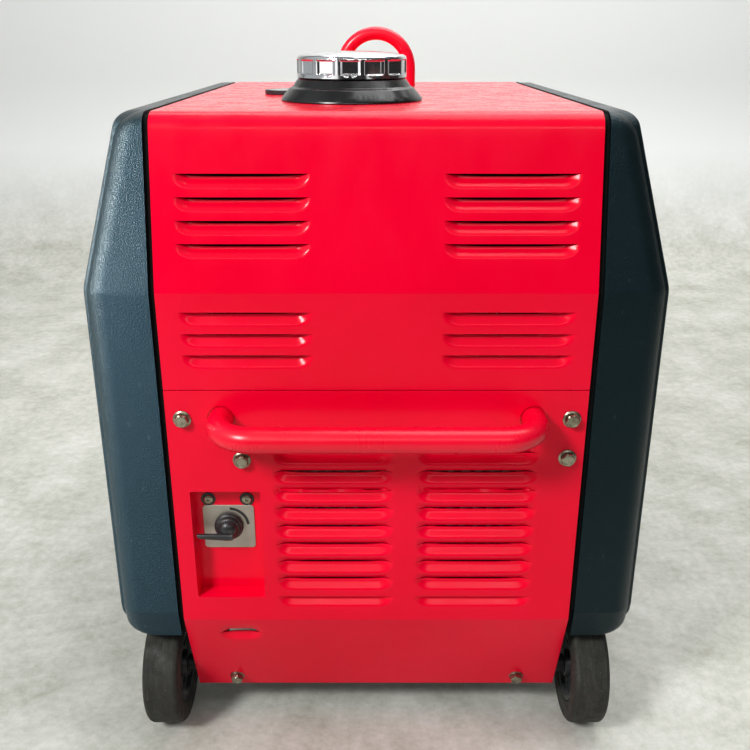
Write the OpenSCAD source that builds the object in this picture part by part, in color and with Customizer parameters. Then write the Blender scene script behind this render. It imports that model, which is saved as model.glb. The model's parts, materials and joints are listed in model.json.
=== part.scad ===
// Inverter generator: a folded sheet-steel body between two plastic side covers, on two fixed
// wheels at the front and two swivel casters at the rear.
// Millimetres. +X is to the right of the front end, +Y runs to the rear and +Z is up.
// The origin is on the floor, under the middle of the body.

/* [Body] */
// Width over the rims of the side covers
body_w = 445; // [440:1:448]
// Length between the upright faces of the two ends
body_l = 530; // [526:1:534]
// Height of the top face
top_z = 556; // [554:1:558]
// Height at which each end starts to lean back
crease_z = 427; // [425:1:429]
// How far the top edge of each end is set back
lean_setback = 27; // [24:1:29]
// Radius of the rolled top edge
roll_r = 15; // [12:1:17]
// Height of the seam between the upper cover and the end panels
seam_z = 349; // [347:1:351]
// Height at which the lower panels turn under
undercut_z = 134; // [132:1:136]
// How far the bottom edge of the front skirt is set back
undercut_setback = 37; // [35:1:38]
// Height of the bottom edge of the front skirt
skirt_z = 35; // [34:1:37]
// Half the width of the red sheet panels
panel_half_w = 167; // [166:0.5:167.5]
// Thickness of the upper cover's sheet
cover_sheet = 1.2; // [1:0.1:1.4]
// Thickness of the lower panels' sheet
panel_sheet = 1.6; // [1.4:0.1:1.8]

/* [Side covers] */
// Distance from the middle to the inner edge of a side cover
side_in = 171.5; // [171:0.5:172]
// Height of the bottom of a side cover
side_z = 112.8; // [112.6:0.1:113.4]
// Height at which the ends of a side cover turn under
side_turn_z = 141; // [139:1:143]
// How far the bottom edge of a side cover is set back at its ends
side_setback = 6; // [5:0.5:7]
// Lean of the shoulder from the vertical, in degrees
shoulder_a = 13.3; // [13:0.1:13.6]
// How far the middle of a side cover stands proud of its rims
side_raise = 2.5; // [2:0.1:2.5]
// Wall thickness of a side cover
side_wall = 3.5; // [3.5:0.1:3.8]

/* [Louvers] */
// Length of a long louver
louver_l = 101; // [96:1:102]
// Height of the dent under each slit
louver_h = 10; // [9:0.5:10]
// Depth of the dent
louver_d = 4.5; // [4:0.5:5]
// Height of the upright strip at the top of each dent
louver_strip = 3.3; // [3:0.1:3.5]
// Distance from one slit to the next
louver_pitch = 17; // [16.5:0.1:17.2]

/* [Handles and hook] */
// Outer diameter of the handle tube
handle_d = 20; // [19.5:0.1:20.5]
// Distance between the middles of a handle's legs
handle_span = 248; // [247:0.2:249]
// How far each handle is off the middle, to the right
handle_shift = 1; // [0:0.1:1.5]
// Distance from an end panel to the middle of its handle bar
handle_out = 40; // [38:1:42]
// Height of the handles
handle_z = 324; // [323:1:325]
// Diameter of the lifting hook's bar
hook_d = 12.7; // [12:0.1:13]
// Distance between the middles of the hook's legs
hook_span = 67.4; // [66:0.2:68]
// Height of the top of the hook
hook_top = 617; // [614:1:620]

/* [Wheels] */
// Diameter of the fixed wheels
wheel_d = 106; // [104:1:106]
// Width of the fixed wheels
wheel_w = 32; // [31:0.5:32]
// Distance from the middle of the body to the middle of a fixed wheel
wheel_x = 193; // [193:0.5:194]
// Distance of the fixed wheels' axle in front of the middle of the body
axle_y = 221; // [219:0.5:222]
// Diameter of the caster wheels
caster_d = 75; // [74:1:75]
// Distance of the casters' swivel axis from the middle of the body, across
swivel_x = 168; // [168:0.5:169]
// Distance of the casters' swivel axis behind the middle of the body
swivel_y = 205; // [204:1:206]
// Distance from a caster's swivel axis to its axle
caster_trail = 30; // [29:1:30]

/* [Hidden] */
$fn = 48;

red = [0.80, 0.04, 0.10];
cover_grey = [0.16, 0.22, 0.27];
black = [0.06, 0.06, 0.06];
zinc = [0.78, 0.76, 0.66];
cast = [0.62, 0.63, 0.64];

half_w = body_w / 2;
half_l = body_l / 2;
lean_a = atan(lean_setback / (top_z - crease_z));
undercut_a = atan(undercut_setback / (undercut_z - skirt_z));
roll_c = [half_l - (top_z - roll_r - crease_z) * tan(lean_a) - roll_r / cos(lean_a), top_z - roll_r];
gap = 0.3;
run_fit = 0.05;
end_low_z = 112;

// Louver groups: left end of each group and the heights of their slits
upper_group_x = [-150, 50.5];
lower_group_x = [-84.5, 33];
lean_slit_s = [for (i = [0:3]) 88 - 17.1 * i];
upright_slit_z = [for (i = [0:2]) 412 - 17.2 * i];
lower_slit_z = [for (i = [0:8]) 293.5 - louver_pitch * i];

// Pocket of the fuel cock
pocket_x = [-153, -95.5];
pocket_z = [157, 259];
pocket_depth = 15;
cock_x = -124.8;
cock_z = 219.3;
cock_plate_z = 218.2;
pocket_screw_x = [-141.1, -108.6];
pocket_screw_z = 244.4;

// Fasteners
end_bolts = [[-154, 324], [-108.5, 288], [155, 324], [154, 290]];
skirt_bolt_x = [-130, 131];
skirt_bolt_s = 91.8;
tab_x = 181;
tab_y = [-135, 75];

// Filler, gauge and hook
filler = [-21, -105];
neck_r = 28;
neck_z = 572;
tap = [-120, -200];
gauge = [-84, -15];
hook_y = 50;

// Chassis
rail = [138, 163];
rail_z = [112, 137];
post = [143, 163];
front_post_y = [-225, -205];
rear_post_y = [40, 60];
tank_z = [410, 545];
tank_x = 150;
tank_y = [-228, 15];
mount_y = [5, 95];
mount_x = 60;

// Wheels and casters
rim_r = 34;
plate_z = end_low_z - 2;
crown_z = 88;
caster_leg = 15.2;
brake_pin = [caster_trail + 27, 72];

// Engine
crank_z = 235;
crank_r = 12.5;
block_y = [-15, 115];
cyl_a = 30;
tailpipe = [85, 242];
rope = [-112, 175];

// Control panel and its parts: [y, z] of each
deck_x = 215;
deck_y = [-205, -15];
deck_z = [230, 405];
deck_wall = 3;
switch_at = [-176, 338];
choke_at = [-176, 285];
eco_at = [-122, 365];
breaker_at = [-122, 318];
outlet_at = [[-58, 358], [-58, 276]];
lamp_y = [-190, -176, -162];
lamp_z = 384;
earth_at = [-176, 246];
rocker_tilt = 9;
outlet_half = 27;
flap_half = 24;

// Recoil pocket, service lid
grip_y = [-167, -57];
grip_z = [145, 205];
lid_y = 149;
lid_z = [180, 399];
lid_hinge = [-221, 180];
latch_at = [0, 378];

// ---------- helpers ----------

// A shape drawn in Y and Z, run along X
module along_x(x0, x1) translate([x0, 0, 0]) rotate([90, 0, 90]) linear_extrude(x1 - x0) children();
// A shape drawn in X and Z, run along Y
module along_y(y0, y1) translate([0, y1, 0]) rotate([90, 0, 0]) linear_extrude(y1 - y0) children();
module rod_x(r, x0, x1) translate([x0, 0, 0]) rotate([0, 90, 0]) cylinder(r = r, h = x1 - x0);
module rod_y(r, y0, y1) translate([0, y0, 0]) rotate([-90, 0, 0]) cylinder(r = r, h = y1 - y0);
module rod_z(r, z0, z1) translate([0, 0, z0]) cylinder(r = r, h = z1 - z0);
module block(x, y, z) translate([x[0], y[0], z[0]]) cube([x[1] - x[0], y[1] - y[0], z[1] - z[0]]);
module both_ends() { children(); mirror([0, 1, 0]) children(); }
module both_sides() { children(); mirror([1, 0, 0]) children(); }

// A rectangle with round corners, standing on its two ranges
module rounded(u, v, r) {
  translate([u[0] + r, v[0]]) square([u[1] - u[0] - 2 * r, v[1] - v[0]]);
  translate([u[0], v[0] + r]) square([u[1] - u[0], v[1] - v[0] - 2 * r]);
  for (a = [u[0] + r, u[1] - r], b = [v[0] + r, v[1] - r]) translate([a, b]) circle(r);
}

// Side view of the body, set in by t, down to the height low
module end_outline(t, low) {
  y0 = half_l - t;
  bend_z = crease_z - t * tan(lean_a / 2);
  r = roll_r - t;
  c = roll_c;
  touch = [c[0] + r * cos(lean_a), c[1] + r * sin(lean_a)];
  polygon([[-y0, low], [-y0, bend_z], [-touch[0], touch[1]], [-c[0], c[1]], [-c[0], top_z - t],
    [c[0], top_z - t], [c[0], c[1]], touch, [y0, bend_z], [y0, low]]);
  for (s = [-1, 1]) translate([s * c[0], c[1]]) circle(r);
}

// Side view of the side covers: the body's outline, turned under at the bottom
module cover_outline(t, low) difference() {
  y0 = half_l - t;
  out = y0 + 9;
  foot_y = y0 - side_setback * (side_turn_z - low + 1) / (side_turn_z - side_z);
  end_outline(t, low);
  for (s = [-1, 1])
    polygon([[s * y0, side_turn_z], [s * out, side_turn_z], [s * out, low - 1], [s * foot_y, low - 1]]);
}

// A louver: slit along X at z = 0, dent below it, y inwards
module dent(len) {
  out = 0.4;
  s = louver_h + (louver_h - louver_strip) * out / louver_d;
  along_x(louver_h, len - louver_h)
    polygon([[-out, 0], [louver_d, 0], [louver_d, -louver_strip], [-out, -s]]);
  translate([len - louver_h, 0, 0]) dent_end(s, out);
  translate([louver_h, 0, 0]) mirror([1, 0, 0]) dent_end(s, out);
}
module dent_end(s, out) rotate([-90, 0, 0]) rotate_extrude(angle = 90)
  polygon([[0, -out], [s, -out], [louver_strip, louver_d], [0, louver_d]]);

// Frames lying on the leaning, upright and undercut faces of the front end
module on_lean() translate([0, -half_l, crease_z]) rotate([-lean_a, 0, 0]) children();
module on_undercut() translate([0, -half_l, undercut_z]) rotate([undercut_a, 0, 0]) children();

module upper_dents(shift) {
  for (x = upper_group_x) {
    for (s = lean_slit_s) on_lean() translate([x, shift, s]) dent(louver_l);
    for (z = upright_slit_z) translate([x, shift - half_l, z]) dent(louver_l);
  }
}
// rows: how many of the slits each group has
module lower_dents(shift, rows)
  for (g = [0, 1], i = [0:rows[g] - 1])
    translate([lower_group_x[g], shift - half_l, lower_slit_z[i]]) dent(louver_l - 2);

// ---------- body ----------

module upper_cover() color(red) difference() {
  union() {
    along_x(-panel_half_w, panel_half_w) difference() {
      end_outline(0, seam_z);
      end_outline(cover_sheet, seam_z - 1);
    }
    both_ends() upper_dents(cover_sheet);
  }
  both_ends() upper_dents(0);
  translate([filler[0], filler[1], 0]) rod_z(42, top_z - 5, top_z + 5);
  translate([gauge[0], gauge[1], 0]) rod_z(18.3, top_z - 5, top_z + 5);
  for (s = [-1, 1]) translate([s * hook_span / 2, hook_y, 0]) rod_z(7.5, top_z - 5, top_z + 5);
}

// Section of an end panel, with its bottom edge at the height low
module panel_section(low) {
  t = panel_sheet;
  out_y = half_l - (undercut_z - low) * tan(undercut_a);
  in_z = undercut_z + t * tan(undercut_a / 2);
  in_y = out_y - t / cos(undercut_a);
  polygon([[-half_l, seam_z - 0.8], [-half_l, undercut_z], [-out_y, low], [-in_y, low],
    [-half_l + t, in_z], [-half_l + t, seam_z - 0.8]]);
  lip = cover_sheet;
  polygon([[-half_l + lip, seam_z - 10], [-half_l + lip, seam_z + 11],
    [-half_l + lip + t, seam_z + 11], [-half_l + lip + t, seam_z - 10]]);
}

// A round cutter through the upright face of the front end
module through_face(r) rod_y(r, -half_l - 5, -half_l + 9);

module panel_blank(low, rows) difference() {
  union() {
    along_x(-panel_half_w, panel_half_w) panel_section(low);
    lower_dents(panel_sheet, rows);
  }
  lower_dents(0, rows);
  for (s = [-1, 1]) translate([handle_shift + s * handle_span / 2, 0, handle_z])
    through_face(handle_d / 2 + 1.2);
  for (p = end_bolts) translate([p[0], 0, p[1]]) through_face(3.4);
}

// The opening of the fuel cock's pocket, grown by g
module pocket_shape(g, r)
  rounded([pocket_x[0] - g, pocket_x[1] + g], [pocket_z[0] - g, pocket_z[1] + g], r);

module pocket_tray() {
  t = cover_sheet;
  back = -half_l + pocket_depth;
  face = -half_l + panel_sheet;
  difference() {
    union() {
      along_y(face - 0.2, face + t) pocket_shape(7, 5);
      along_y(face, back + t) pocket_shape(t, 4);
    }
    along_y(-half_l - 5, back) pocket_shape(0, 3);
  }
}

module front_panel() color(red) {
  slot_x = -138;
  slot_l = 37;
  slot_s = 21;
  difference() {
    union() {
      difference() {
        panel_blank(skirt_z, [9, 9]);
        along_y(-half_l - 5, -half_l + 5) pocket_shape(0, 3);
      }
      pocket_tray();
      on_undercut() translate([slot_x, panel_sheet, -slot_s]) dent(slot_l);
    }
    on_undercut() translate([slot_x, 0, -slot_s]) dent(slot_l);
    on_undercut() for (x = skirt_bolt_x) translate([x, 0, -skirt_bolt_s]) rod_y(3.4, -5, 8);
    translate([cock_x, 0, cock_z]) rod_y(6, -half_l + 5, -half_l + 25);
    for (x = pocket_screw_x) translate([x, 0, pocket_screw_z])
      rod_y(2.6, -half_l + 5, -half_l + 25);
  }
}

module rear_panel() color(red) mirror([0, 1, 0]) difference() {
  panel_blank(end_low_z, [9, 2]);
  translate([tailpipe[0], 0, tailpipe[1]]) through_face(22);
}

module edge_seals() color(black) both_sides()
  along_x(panel_half_w, side_in) difference() {
    cover_outline(2.5, side_z + 2);
    cover_outline(8, side_z + 1);
  }

// Section of a side cover: outer edge xb, top zt, bottom zb, shoulder and foot radii
module side_section(xb, zt, zb, r, foot_r) {
  c = [xb - (zt - r - crease_z) * tan(shoulder_a) - r / cos(shoulder_a), zt - r];
  intersection() {
    union() {
      polygon([[side_in - 5, zt], [c[0], zt], c,
        [c[0] + r * cos(shoulder_a), c[1] + r * sin(shoulder_a)], [xb, crease_z],
        [xb, zb + foot_r], [xb - foot_r, zb + foot_r], [xb - foot_r, zb], [side_in - 5, zb]]);
      translate(c) circle(r);
      translate([xb - foot_r, zb + foot_r]) circle(foot_r);
    }
    translate([side_in - 5, zb - 1]) square([100, zt - zb + 2]);
  }
}

// Solid of a side cover between the two end outlines, set in by y_in at each end
module side_solid(xb, zt, zb, r, foot_r, y_in, x0) intersection() {
  along_y(-half_l, half_l) side_section(xb, zt, zb, r, foot_r);
  along_x(x0, xb + 1) intersection() {
    translate([y_in, 0]) cover_outline(0, zb - 5);
    translate([-y_in, 0]) cover_outline(0, zb - 5);
  }
}

module side_shell() {
  w = side_wall;
  rim = 12;
  foot = 12;
  rim_shoulder = 25;
  raised_shoulder = 14;
  low = side_z + rim - 2;
  proud = half_w + side_raise;
  difference() {
    union() {
      side_solid(half_w, top_z, side_z, rim_shoulder, foot, 0, side_in);
      side_solid(proud, top_z, low, raised_shoulder, foot, rim, side_in);
    }
    side_solid(half_w - w, top_z - w, side_z + w, rim_shoulder - w, foot - w, w, side_in - 4);
    side_solid(proud - w, top_z - w, low + w, raised_shoulder - w, foot - w, rim + w, side_in - 4);
  }
}

module left_cover() color(cover_grey) {
  ear_y = lid_y + 1;
  difference() {
    union() {
      mirror([1, 0, 0]) side_shell();
      both_ends()
        block([-half_w - side_raise + 1, -214], [ear_y, ear_y + 8], [lid_z[0] - 7, lid_z[0] + 7]);
    }
    along_x(-half_w - 10, -half_w + 6)
      rounded([-ear_y, ear_y], [lid_z[0] - 4.6, lid_z[1] + 1], 1);
    translate([lid_hinge[0], 0, lid_hinge[1]]) rod_y(2 + run_fit, -ear_y - 6, ear_y + 6);
    small_screw_holes(-1);
  }
}

module right_cover() color(cover_grey) difference() {
  side_shell();
  along_x(half_w - 6, half_w + 10) rounded(deck_y, deck_z, 6);
  along_x(half_w - 6, half_w + 10) rounded([grip_y[0] + 3, grip_y[1] - 3], grip_z, 8);
  small_screw_holes(1);
}

module small_screw_holes(s)
  for (y = tab_y) translate([s * tab_x, y, 0]) rod_z(2.55, side_z - 1, side_z + side_wall + 1);

// ---------- handles, hook, fasteners ----------

module handle_path(r) translate([handle_shift, 0, 0]) {
  bend = 30;
  leg = handle_span / 2;
  bar_y = -half_l - handle_out;
  translate([0, bar_y, handle_z]) rod_x(r, -leg + bend, leg - bend);
  both_sides() {
    translate([leg - bend, bar_y + bend, handle_z]) rotate([0, 0, -90])
      rotate_extrude(angle = 90) translate([bend, 0]) circle(r);
    translate([leg, 0, handle_z]) rod_y(r, bar_y + bend, -half_l + panel_sheet + 4);
  }
}

module handle() {
  face = -half_l + panel_sheet;
  difference() {
    union() {
      handle_path(handle_d / 2);
      along_y(face, face + 4) rounded([-166, -97], [274, 339], 6);
      along_y(face, face + 4) rounded([97, 166], [299, 339], 6);
      along_y(face, face + 4) rounded([138, 166], [274, 339], 6);
    }
    handle_path(handle_d / 2 - 1.6);
    for (p = end_bolts) translate([p[0], 0, p[1]]) rod_y(3 + run_fit, face - 1, face + 5);
  }
}
module front_handle() color(red) handle();
module rear_handle() color(red) mirror([0, 1, 0]) handle();

// A flange bolt pointing inwards along +Y, its seat at y = 0
module flange_bolt(d, flat, flange_d, len) {
  head = 0.85 * d;
  rod_y(flange_d / 2, -1.6, 0);
  translate([0, -1, 0]) rotate([90, 0, 0]) cylinder(d = flat / cos(30), h = head, $fn = 6);
  rod_y(d / 2, -0.5, len);
}

module panel_bolts() color(zinc) {
  both_ends() for (p = end_bolts) translate([p[0], -half_l, p[1]])
    flange_bolt(6, 10, 14.5, 14);
  on_undercut() for (x = skirt_bolt_x) translate([x, 0, -skirt_bolt_s])
    flange_bolt(6, 10, 13, 6.4);
}

// A pan-head screw pointing along +Y, its seat at y = 0
module pan_screw(len) difference() {
  union() {
    rod_y(4.35, -2.6, 0);
    rod_y(2.5, -0.5, len);
  }
  for (a = [0, 90]) rotate([0, a, 0]) translate([-2.4, -3, -0.45]) cube([4.8, 2, 0.9]);
}

module small_screws() color(zinc) {
  for (x = pocket_screw_x) translate([x, -half_l + pocket_depth, pocket_screw_z]) pan_screw(9);
  for (s = [-1, 1], y = tab_y) translate([s * tab_x, y, side_z - 4])
    rotate([90, 0, 0]) pan_screw(9);
}

module lifting_hook() color(red) {
  r = hook_d / 2;
  leg = hook_span / 2;
  arch_z = hook_top - r - leg;
  foot_z = 499;
  translate([0, hook_y, 0]) {
    translate([0, 0, arch_z]) rotate([90, 0, 0])
      rotate_extrude(angle = 180) translate([leg, 0]) circle(r);
    for (s = [-1, 1]) translate([s * leg, 0, 0]) {
      rod_z(r, foot_z, arch_z);
      rod_z(10, foot_z, foot_z + 6);
      rod_z(10, 525, 530);
    }
  }
}

// ---------- fuel cock ----------

module cock_label_plate() color([0.62, 0.6, 0.55]) difference() {
  face = -half_l + pocket_depth;
  half = [21.7, 20.5];
  along_y(face - 0.8, face) rounded([cock_x - half[0], cock_x + half[0]],
    [cock_plate_z - half[1], cock_plate_z + half[1]], 3);
  translate([cock_x, 0, cock_z]) rod_y(6, face - 2, face + 2);
}

module cock_lever() color(black) translate([cock_x, -half_l + pocket_depth, cock_z]) {
  rod_y(12.2, -7, -1.1);
  rod_y(7, -12, -6);
  rod_y(3, -2, 14);
  hull() {
    translate([0, 0, -4]) rod_y(2.8, -15, -10.5);
    translate([-23.4, 0, -4]) rod_y(2.1, -15, -11.4);
  }
}

module fuel_cock_valve() color(zinc) {
  back = -half_l + pocket_depth + cover_sheet;
  difference() {
    union() {
      block([cock_x - 22, cock_x + 22], [back, back + 4], [cock_z - 14, cock_z + 31]);
      translate([cock_x, 0, cock_z]) rod_y(13, back + 3.9, back + 34);
      translate([cock_x, back + 22, 0]) rod_z(5, cock_z + 8, cock_z + 28);
    }
    translate([cock_x, 0, cock_z]) rod_y(3 + run_fit, back - 1, back + 14);
    for (x = pocket_screw_x) translate([x, 0, pocket_screw_z])
      rod_y(2.5 + run_fit, back - 1, back + 5);
    translate([cock_x, back + 22, 0]) rod_z(2.5, cock_z, cock_z + 30);
    translate([cock_x, 0, cock_z]) rod_y(2.5, back + 20, back + 40);
  }
}

// A hose from point to point with a ball at each corner
module hose_run(points, r) {
  ball = r + 0.4;
  for (i = [0:len(points) - 2]) {
    a = points[i];
    v = points[i + 1] - a;
    translate(a) rotate([0, acos(v[2] / norm(v)), atan2(v[1], v[0])]) cylinder(r = r, h = norm(v));
  }
  for (i = [1:len(points) - 2]) translate(points[i]) sphere(ball);
}

module fuel_hose() color(black) {
  valve_y = -half_l + pocket_depth + cover_sheet;
  stub_y = valve_y + 22;
  hose_run([[tap[0], tap[1], 398], [tap[0], tap[1], 300], [cock_x, stub_y, 285],
    [cock_x, stub_y, cock_z + 28]], 4.5);
  hose_run([[cock_x, valve_y + 34, cock_z], [cock_x, -60, cock_z], [-118, -24, 250],
    [-118, -24, 345], [-104, -24, 345]], 4.5);
}

// ---------- fuel tank, cap, gauge ----------

module fuel_tank() color([0.2, 0.2, 0.21]) difference() {
  union() {
    translate([0, 0, tank_z[0]]) linear_extrude(tank_z[1] - tank_z[0])
      rounded([-tank_x, tank_x], tank_y, 22);
    translate([filler[0], filler[1], 0]) rod_z(neck_r, tank_z[1] - 1, neck_z);
    translate([tap[0], tap[1], 0]) rod_z(6, 398, tank_z[0] + 1);
  }
  translate([0, 0, tank_z[0] + 2]) linear_extrude(tank_z[1] - tank_z[0] - 4)
    rounded([-tank_x + 2, tank_x - 2], [tank_y[0] + 2, tank_y[1] - 2], 20);
  translate([filler[0], filler[1], 0]) rod_z(neck_r - 3, tank_z[1] - 5, neck_z + 5);
  translate([tap[0], tap[1], 0]) rod_z(3, 390, tank_z[0] + 5);
}

module filler_boot() color(black) translate([filler[0], filler[1], 0]) rotate_extrude()
  polygon([[43, top_z], [61, top_z], [60.5, top_z + 2.5], [53.5, top_z + 10.6],
    [51, top_z + 11.4], [46.3, top_z + 18], [39, top_z + 18], [39, top_z + 14],
    [47.5, top_z + 8], [50, top_z + 2.5], [43, top_z + 2.5]]);

module fuel_cap_insert() color(black) translate([filler[0], filler[1], 0]) {
  rod_z(neck_r + 3, neck_z + gap, neck_z + 5);
  rod_z(neck_r - 3.4, neck_z - 9, neck_z + 1);
  rod_z(8, neck_z + 4, neck_z + 16);
}

module fuel_cap_shell() color([0.8, 0.8, 0.82]) translate([filler[0], filler[1], 0]) {
  low = top_z + 18.6;
  grips = 14;
  difference() {
    rotate_extrude() polygon([[43, low], [46, low], [46.9, low + 2.5], [46.9, low + 16.5],
      [44.5, low + 18.6], [30, low + 20.6], [0, low + 21.6], [0, low + 18.4],
      [30, low + 17.6], [42, low + 15.5], [42, low + 3]]);
    for (i = [0:grips - 1]) rotate([0, 0, (i + 0.5) * 360 / grips])
      translate([45.2, -7.2, low + 3.2]) cube([5, 14.4, 11.4]);
  }
  difference() {
    rod_z(12, neck_z + 5 + gap, low + 19);
    rod_z(8 + run_fit, neck_z + 5, neck_z + 16 + gap);
  }
}

module fuel_gauge() color(black) translate([gauge[0], gauge[1], 0]) difference() {
  union() {
    rod_z(22.5, top_z, top_z + 4);
    rod_z(18, tank_z[1], top_z + 1);
  }
  rod_z(19, top_z + 0.6, top_z + 5);
  rod_z(1.2 + run_fit, tank_z[1] + 5, top_z + 2);
}
module gauge_lens() color([0.8, 0.85, 0.88, 0.35])
  translate([gauge[0], gauge[1], 0]) rod_z(19, top_z + 2.6, top_z + 4);
module gauge_needle() color([0.9, 0.3, 0.1]) translate([gauge[0], gauge[1], 0]) {
  rod_z(1.2, top_z - 4, top_z + 1.6);
  rod_z(2.4, top_z + 0.9, top_z + 1.7);
  block([-0.7, 0.7], [-15, 4], [top_z + 0.9, top_z + 1.5]);
}

// ---------- chassis and wheels ----------

module chassis() color(black) difference() {
  union() {
    both_sides() {
      block(rail, [-240, 240], rail_z);
      block(post, front_post_y, [rail_z[1] - 1, tank_z[0]]);
      block(post, rear_post_y, [rail_z[1] - 1, 525]);
      block(post, [front_post_y[0], rear_post_y[1]], [tank_z[0] - 15, tank_z[0]]);
      block([rail[1] - 1, 203], [172, 238], [end_low_z - 2, end_low_z + 0.5]);
      for (y = tab_y) block([rail[1] - 1, 196], [y - 13, y + 13], [side_z - 4, side_z]);
      axle_bracket();
    }
    for (y = [-240, 215]) block([-rail[0] - 1, rail[0] + 1], [y, y + 25], rail_z);
    for (y = mount_y) block([-rail[0] - 1, rail[0] + 1], [y - 13, y + 13], rail_z);
    block([-post[0] - 1, post[0] + 1], rear_post_y, [505, 525]);
    block([-rail[1], rail[1]], [-240, 240], [end_low_z - 2, end_low_z + 0.5]);
  }
  for (s = [-1, 1]) translate([s * hook_span / 2, hook_y, 0])
    rod_z(hook_d / 2 + run_fit, 500, 530);
  for (s = [-1, 1], y = tab_y) translate([s * tab_x, y, 0])
    rod_z(2.5 + run_fit, side_z - 6, side_z + 2);
  translate([0, -axle_y, wheel_d / 2]) rod_x(5 + run_fit, -200, 200);
  on_undercut() for (x = skirt_bolt_x) translate([x, panel_sheet, -skirt_bolt_s])
    rod_y(3 + run_fit, -2, 12);
  for (s = [-1, 1]) at_caster(s) caster_bolt_holes();
}

module axle_bracket() {
  hub = [-axle_y, wheel_d / 2];
  near = 0.6;
  in_x = 140;
  difference() {
    union() {
      along_x(in_x, in_x + 5) {
        polygon([[-250, 114], [-190, 114], [hub[0] + 11, hub[1]], [hub[0] - 20, hub[1] - 20]]);
        translate(hub) circle(11);
        polygon([[hub[0] - 20, hub[1]], [hub[0], hub[1] - 11], [hub[0], hub[1]]]);
      }
      translate([0, hub[0], hub[1]]) rod_x(8, in_x, wheel_x - wheel_w / 2 - near);
    }
    along_x(in_x - 1, in_x + 60) skirt_clear(near);
  }
  intersection() {
    on_undercut() translate([118, panel_sheet, -skirt_bolt_s - 9]) cube([24, 3, 22]);
    block([100, 160], [-300, -100], [36, 100]);
  }
}

// Everything in front of the skirt's inner face, with a little room
module skirt_clear(room) {
  run = (panel_sheet + room) / cos(undercut_a);
  foot = half_l - undercut_setback - run;
  head = half_l - panel_sheet - room;
  out = half_l + 40;
  polygon([[-foot, skirt_z], [-head, undercut_z], [-head, undercut_z + 30],
    [-out, undercut_z + 30], [-out, skirt_z - 20], [-foot + 20 * tan(undercut_a), skirt_z - 20]]);
}

module front_axle() color(zinc) translate([0, -axle_y, wheel_d / 2]) {
  tip = wheel_x + wheel_w / 2 + 4.5;
  rod_x(5, -tip, tip);
  both_sides() difference() {
    rod_x(9, tip - 4, tip - 0.5);
    rod_x(5.02, tip - 5, tip);
  }
}

// A fixed wheel about the X axis
module tyre() {
  r = wheel_d / 2;
  w = wheel_w / 2;
  rotate([0, 90, 0]) rotate_extrude() rounded([rim_r + 0.05, r], [-w, w], 5);
}
module hub() {
  w = wheel_w / 2;
  bore = 5 + run_fit;
  rotate([0, 90, 0]) difference() {
    rotate_extrude() polygon([[bore, -w], [12, -w], [13, -w + 6], [27, -w + 6],
      [29, -w + 1.5], [rim_r, -w + 1.5], [rim_r, w - 1.5], [29, w - 1.5],
      [27, w - 6], [13, w - 6], [12, w], [bore, w]]);
    for (i = [0:4]) rotate([0, 0, i * 72]) translate([20, 0, -w]) cylinder(r = 4.5, h = 2 * w);
  }
}
module at_wheel(s) translate([s * wheel_x, -axle_y, wheel_d / 2]) children();
module left_tyre() color([0.12, 0.12, 0.12]) at_wheel(-1) tyre();
module left_hub() color(black) at_wheel(-1) hub();
module right_tyre() color([0.12, 0.12, 0.12]) at_wheel(1) tyre();
module right_hub() color(black) at_wheel(1) hub();

// Casters, drawn about their swivel axis on the floor
module at_caster(s) translate([s * swivel_x, swivel_y, 0]) children();
module caster_bolt_holes()
  for (x = [-22, 22], y = [-24, 24]) translate([x, y, 0]) rod_z(3.3, 105, 120);

module caster_plates() color(zinc) for (s = [-1, 1]) at_caster(s) difference() {
  union() {
    translate([0, 0, plate_z - 4]) linear_extrude(4) rounded([-31, 31], [-33, 33], 5);
    rod_z(21, crown_z + 2 + gap, plate_z - 3);
  }
  rod_z(6 + run_fit, crown_z, plate_z + 1);
  caster_bolt_holes();
}

module caster_fork() {
  difference() {
    union() {
      block([-caster_leg - 2.5, caster_leg + 2.5], [-17, 26], [crown_z - 4, crown_z]);
      rod_z(13, crown_z - 1, crown_z + 2);
      rod_z(6, crown_z, plate_z - 0.6);
      both_sides() along_x(caster_leg, caster_leg + 2.5) polygon([[-17, crown_z],
        [caster_trail, crown_z], [brake_pin[0] + 5, brake_pin[1] + 6],
        [brake_pin[0] + 5, brake_pin[1] - 5], [caster_trail + 8, caster_d / 2 - 8],
        [caster_trail - 8, caster_d / 2 - 8], [-17, crown_z - 8]]);
    }
    translate([0, caster_trail, caster_d / 2]) rod_x(4.02, -30, 30);
    translate([0, brake_pin[0], brake_pin[1]]) rod_x(2.5 + run_fit, -30, 30);
  }
  translate([0, caster_trail, caster_d / 2]) {
    rod_x(4, -caster_leg - 4.5, caster_leg + 4.5);
    both_sides() rod_x(6.5, caster_leg + 2.5, caster_leg + 4.5);
  }
}

module caster_wheel() translate([0, caster_trail, caster_d / 2]) rotate([0, 90, 0])
  rotate_extrude() {
    rounded([24, caster_d / 2], [-12.5, 12.5], 4);
    translate([8, -4]) square([18, 8]);
    translate([4 + run_fit, -14.6]) square([6, 29.2]);
  }

module caster_brake() {
  translate([0, brake_pin[0], brake_pin[1]]) {
    rod_x(2.5, -caster_leg - 2.5, caster_leg + 2.5);
    rod_x(4.5, -14.5, 14.5);
    along_x(-13, 13) polygon([[0, -4.4], [22, -1], [26, 3], [26, 6], [20, 4.5], [0, 4.4]]);
  }
}

module left_caster_fork() color(zinc) at_caster(-1) caster_fork();
module right_caster_fork() color(zinc) at_caster(1) caster_fork();
module left_caster_wheel() color(black) at_caster(-1) caster_wheel();
module right_caster_wheel() color(black) at_caster(1) caster_wheel();
module left_caster_brake() color(red) at_caster(-1) caster_brake();
module right_caster_brake() color(red) at_caster(1) caster_brake();

// ---------- service lid ----------

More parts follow.
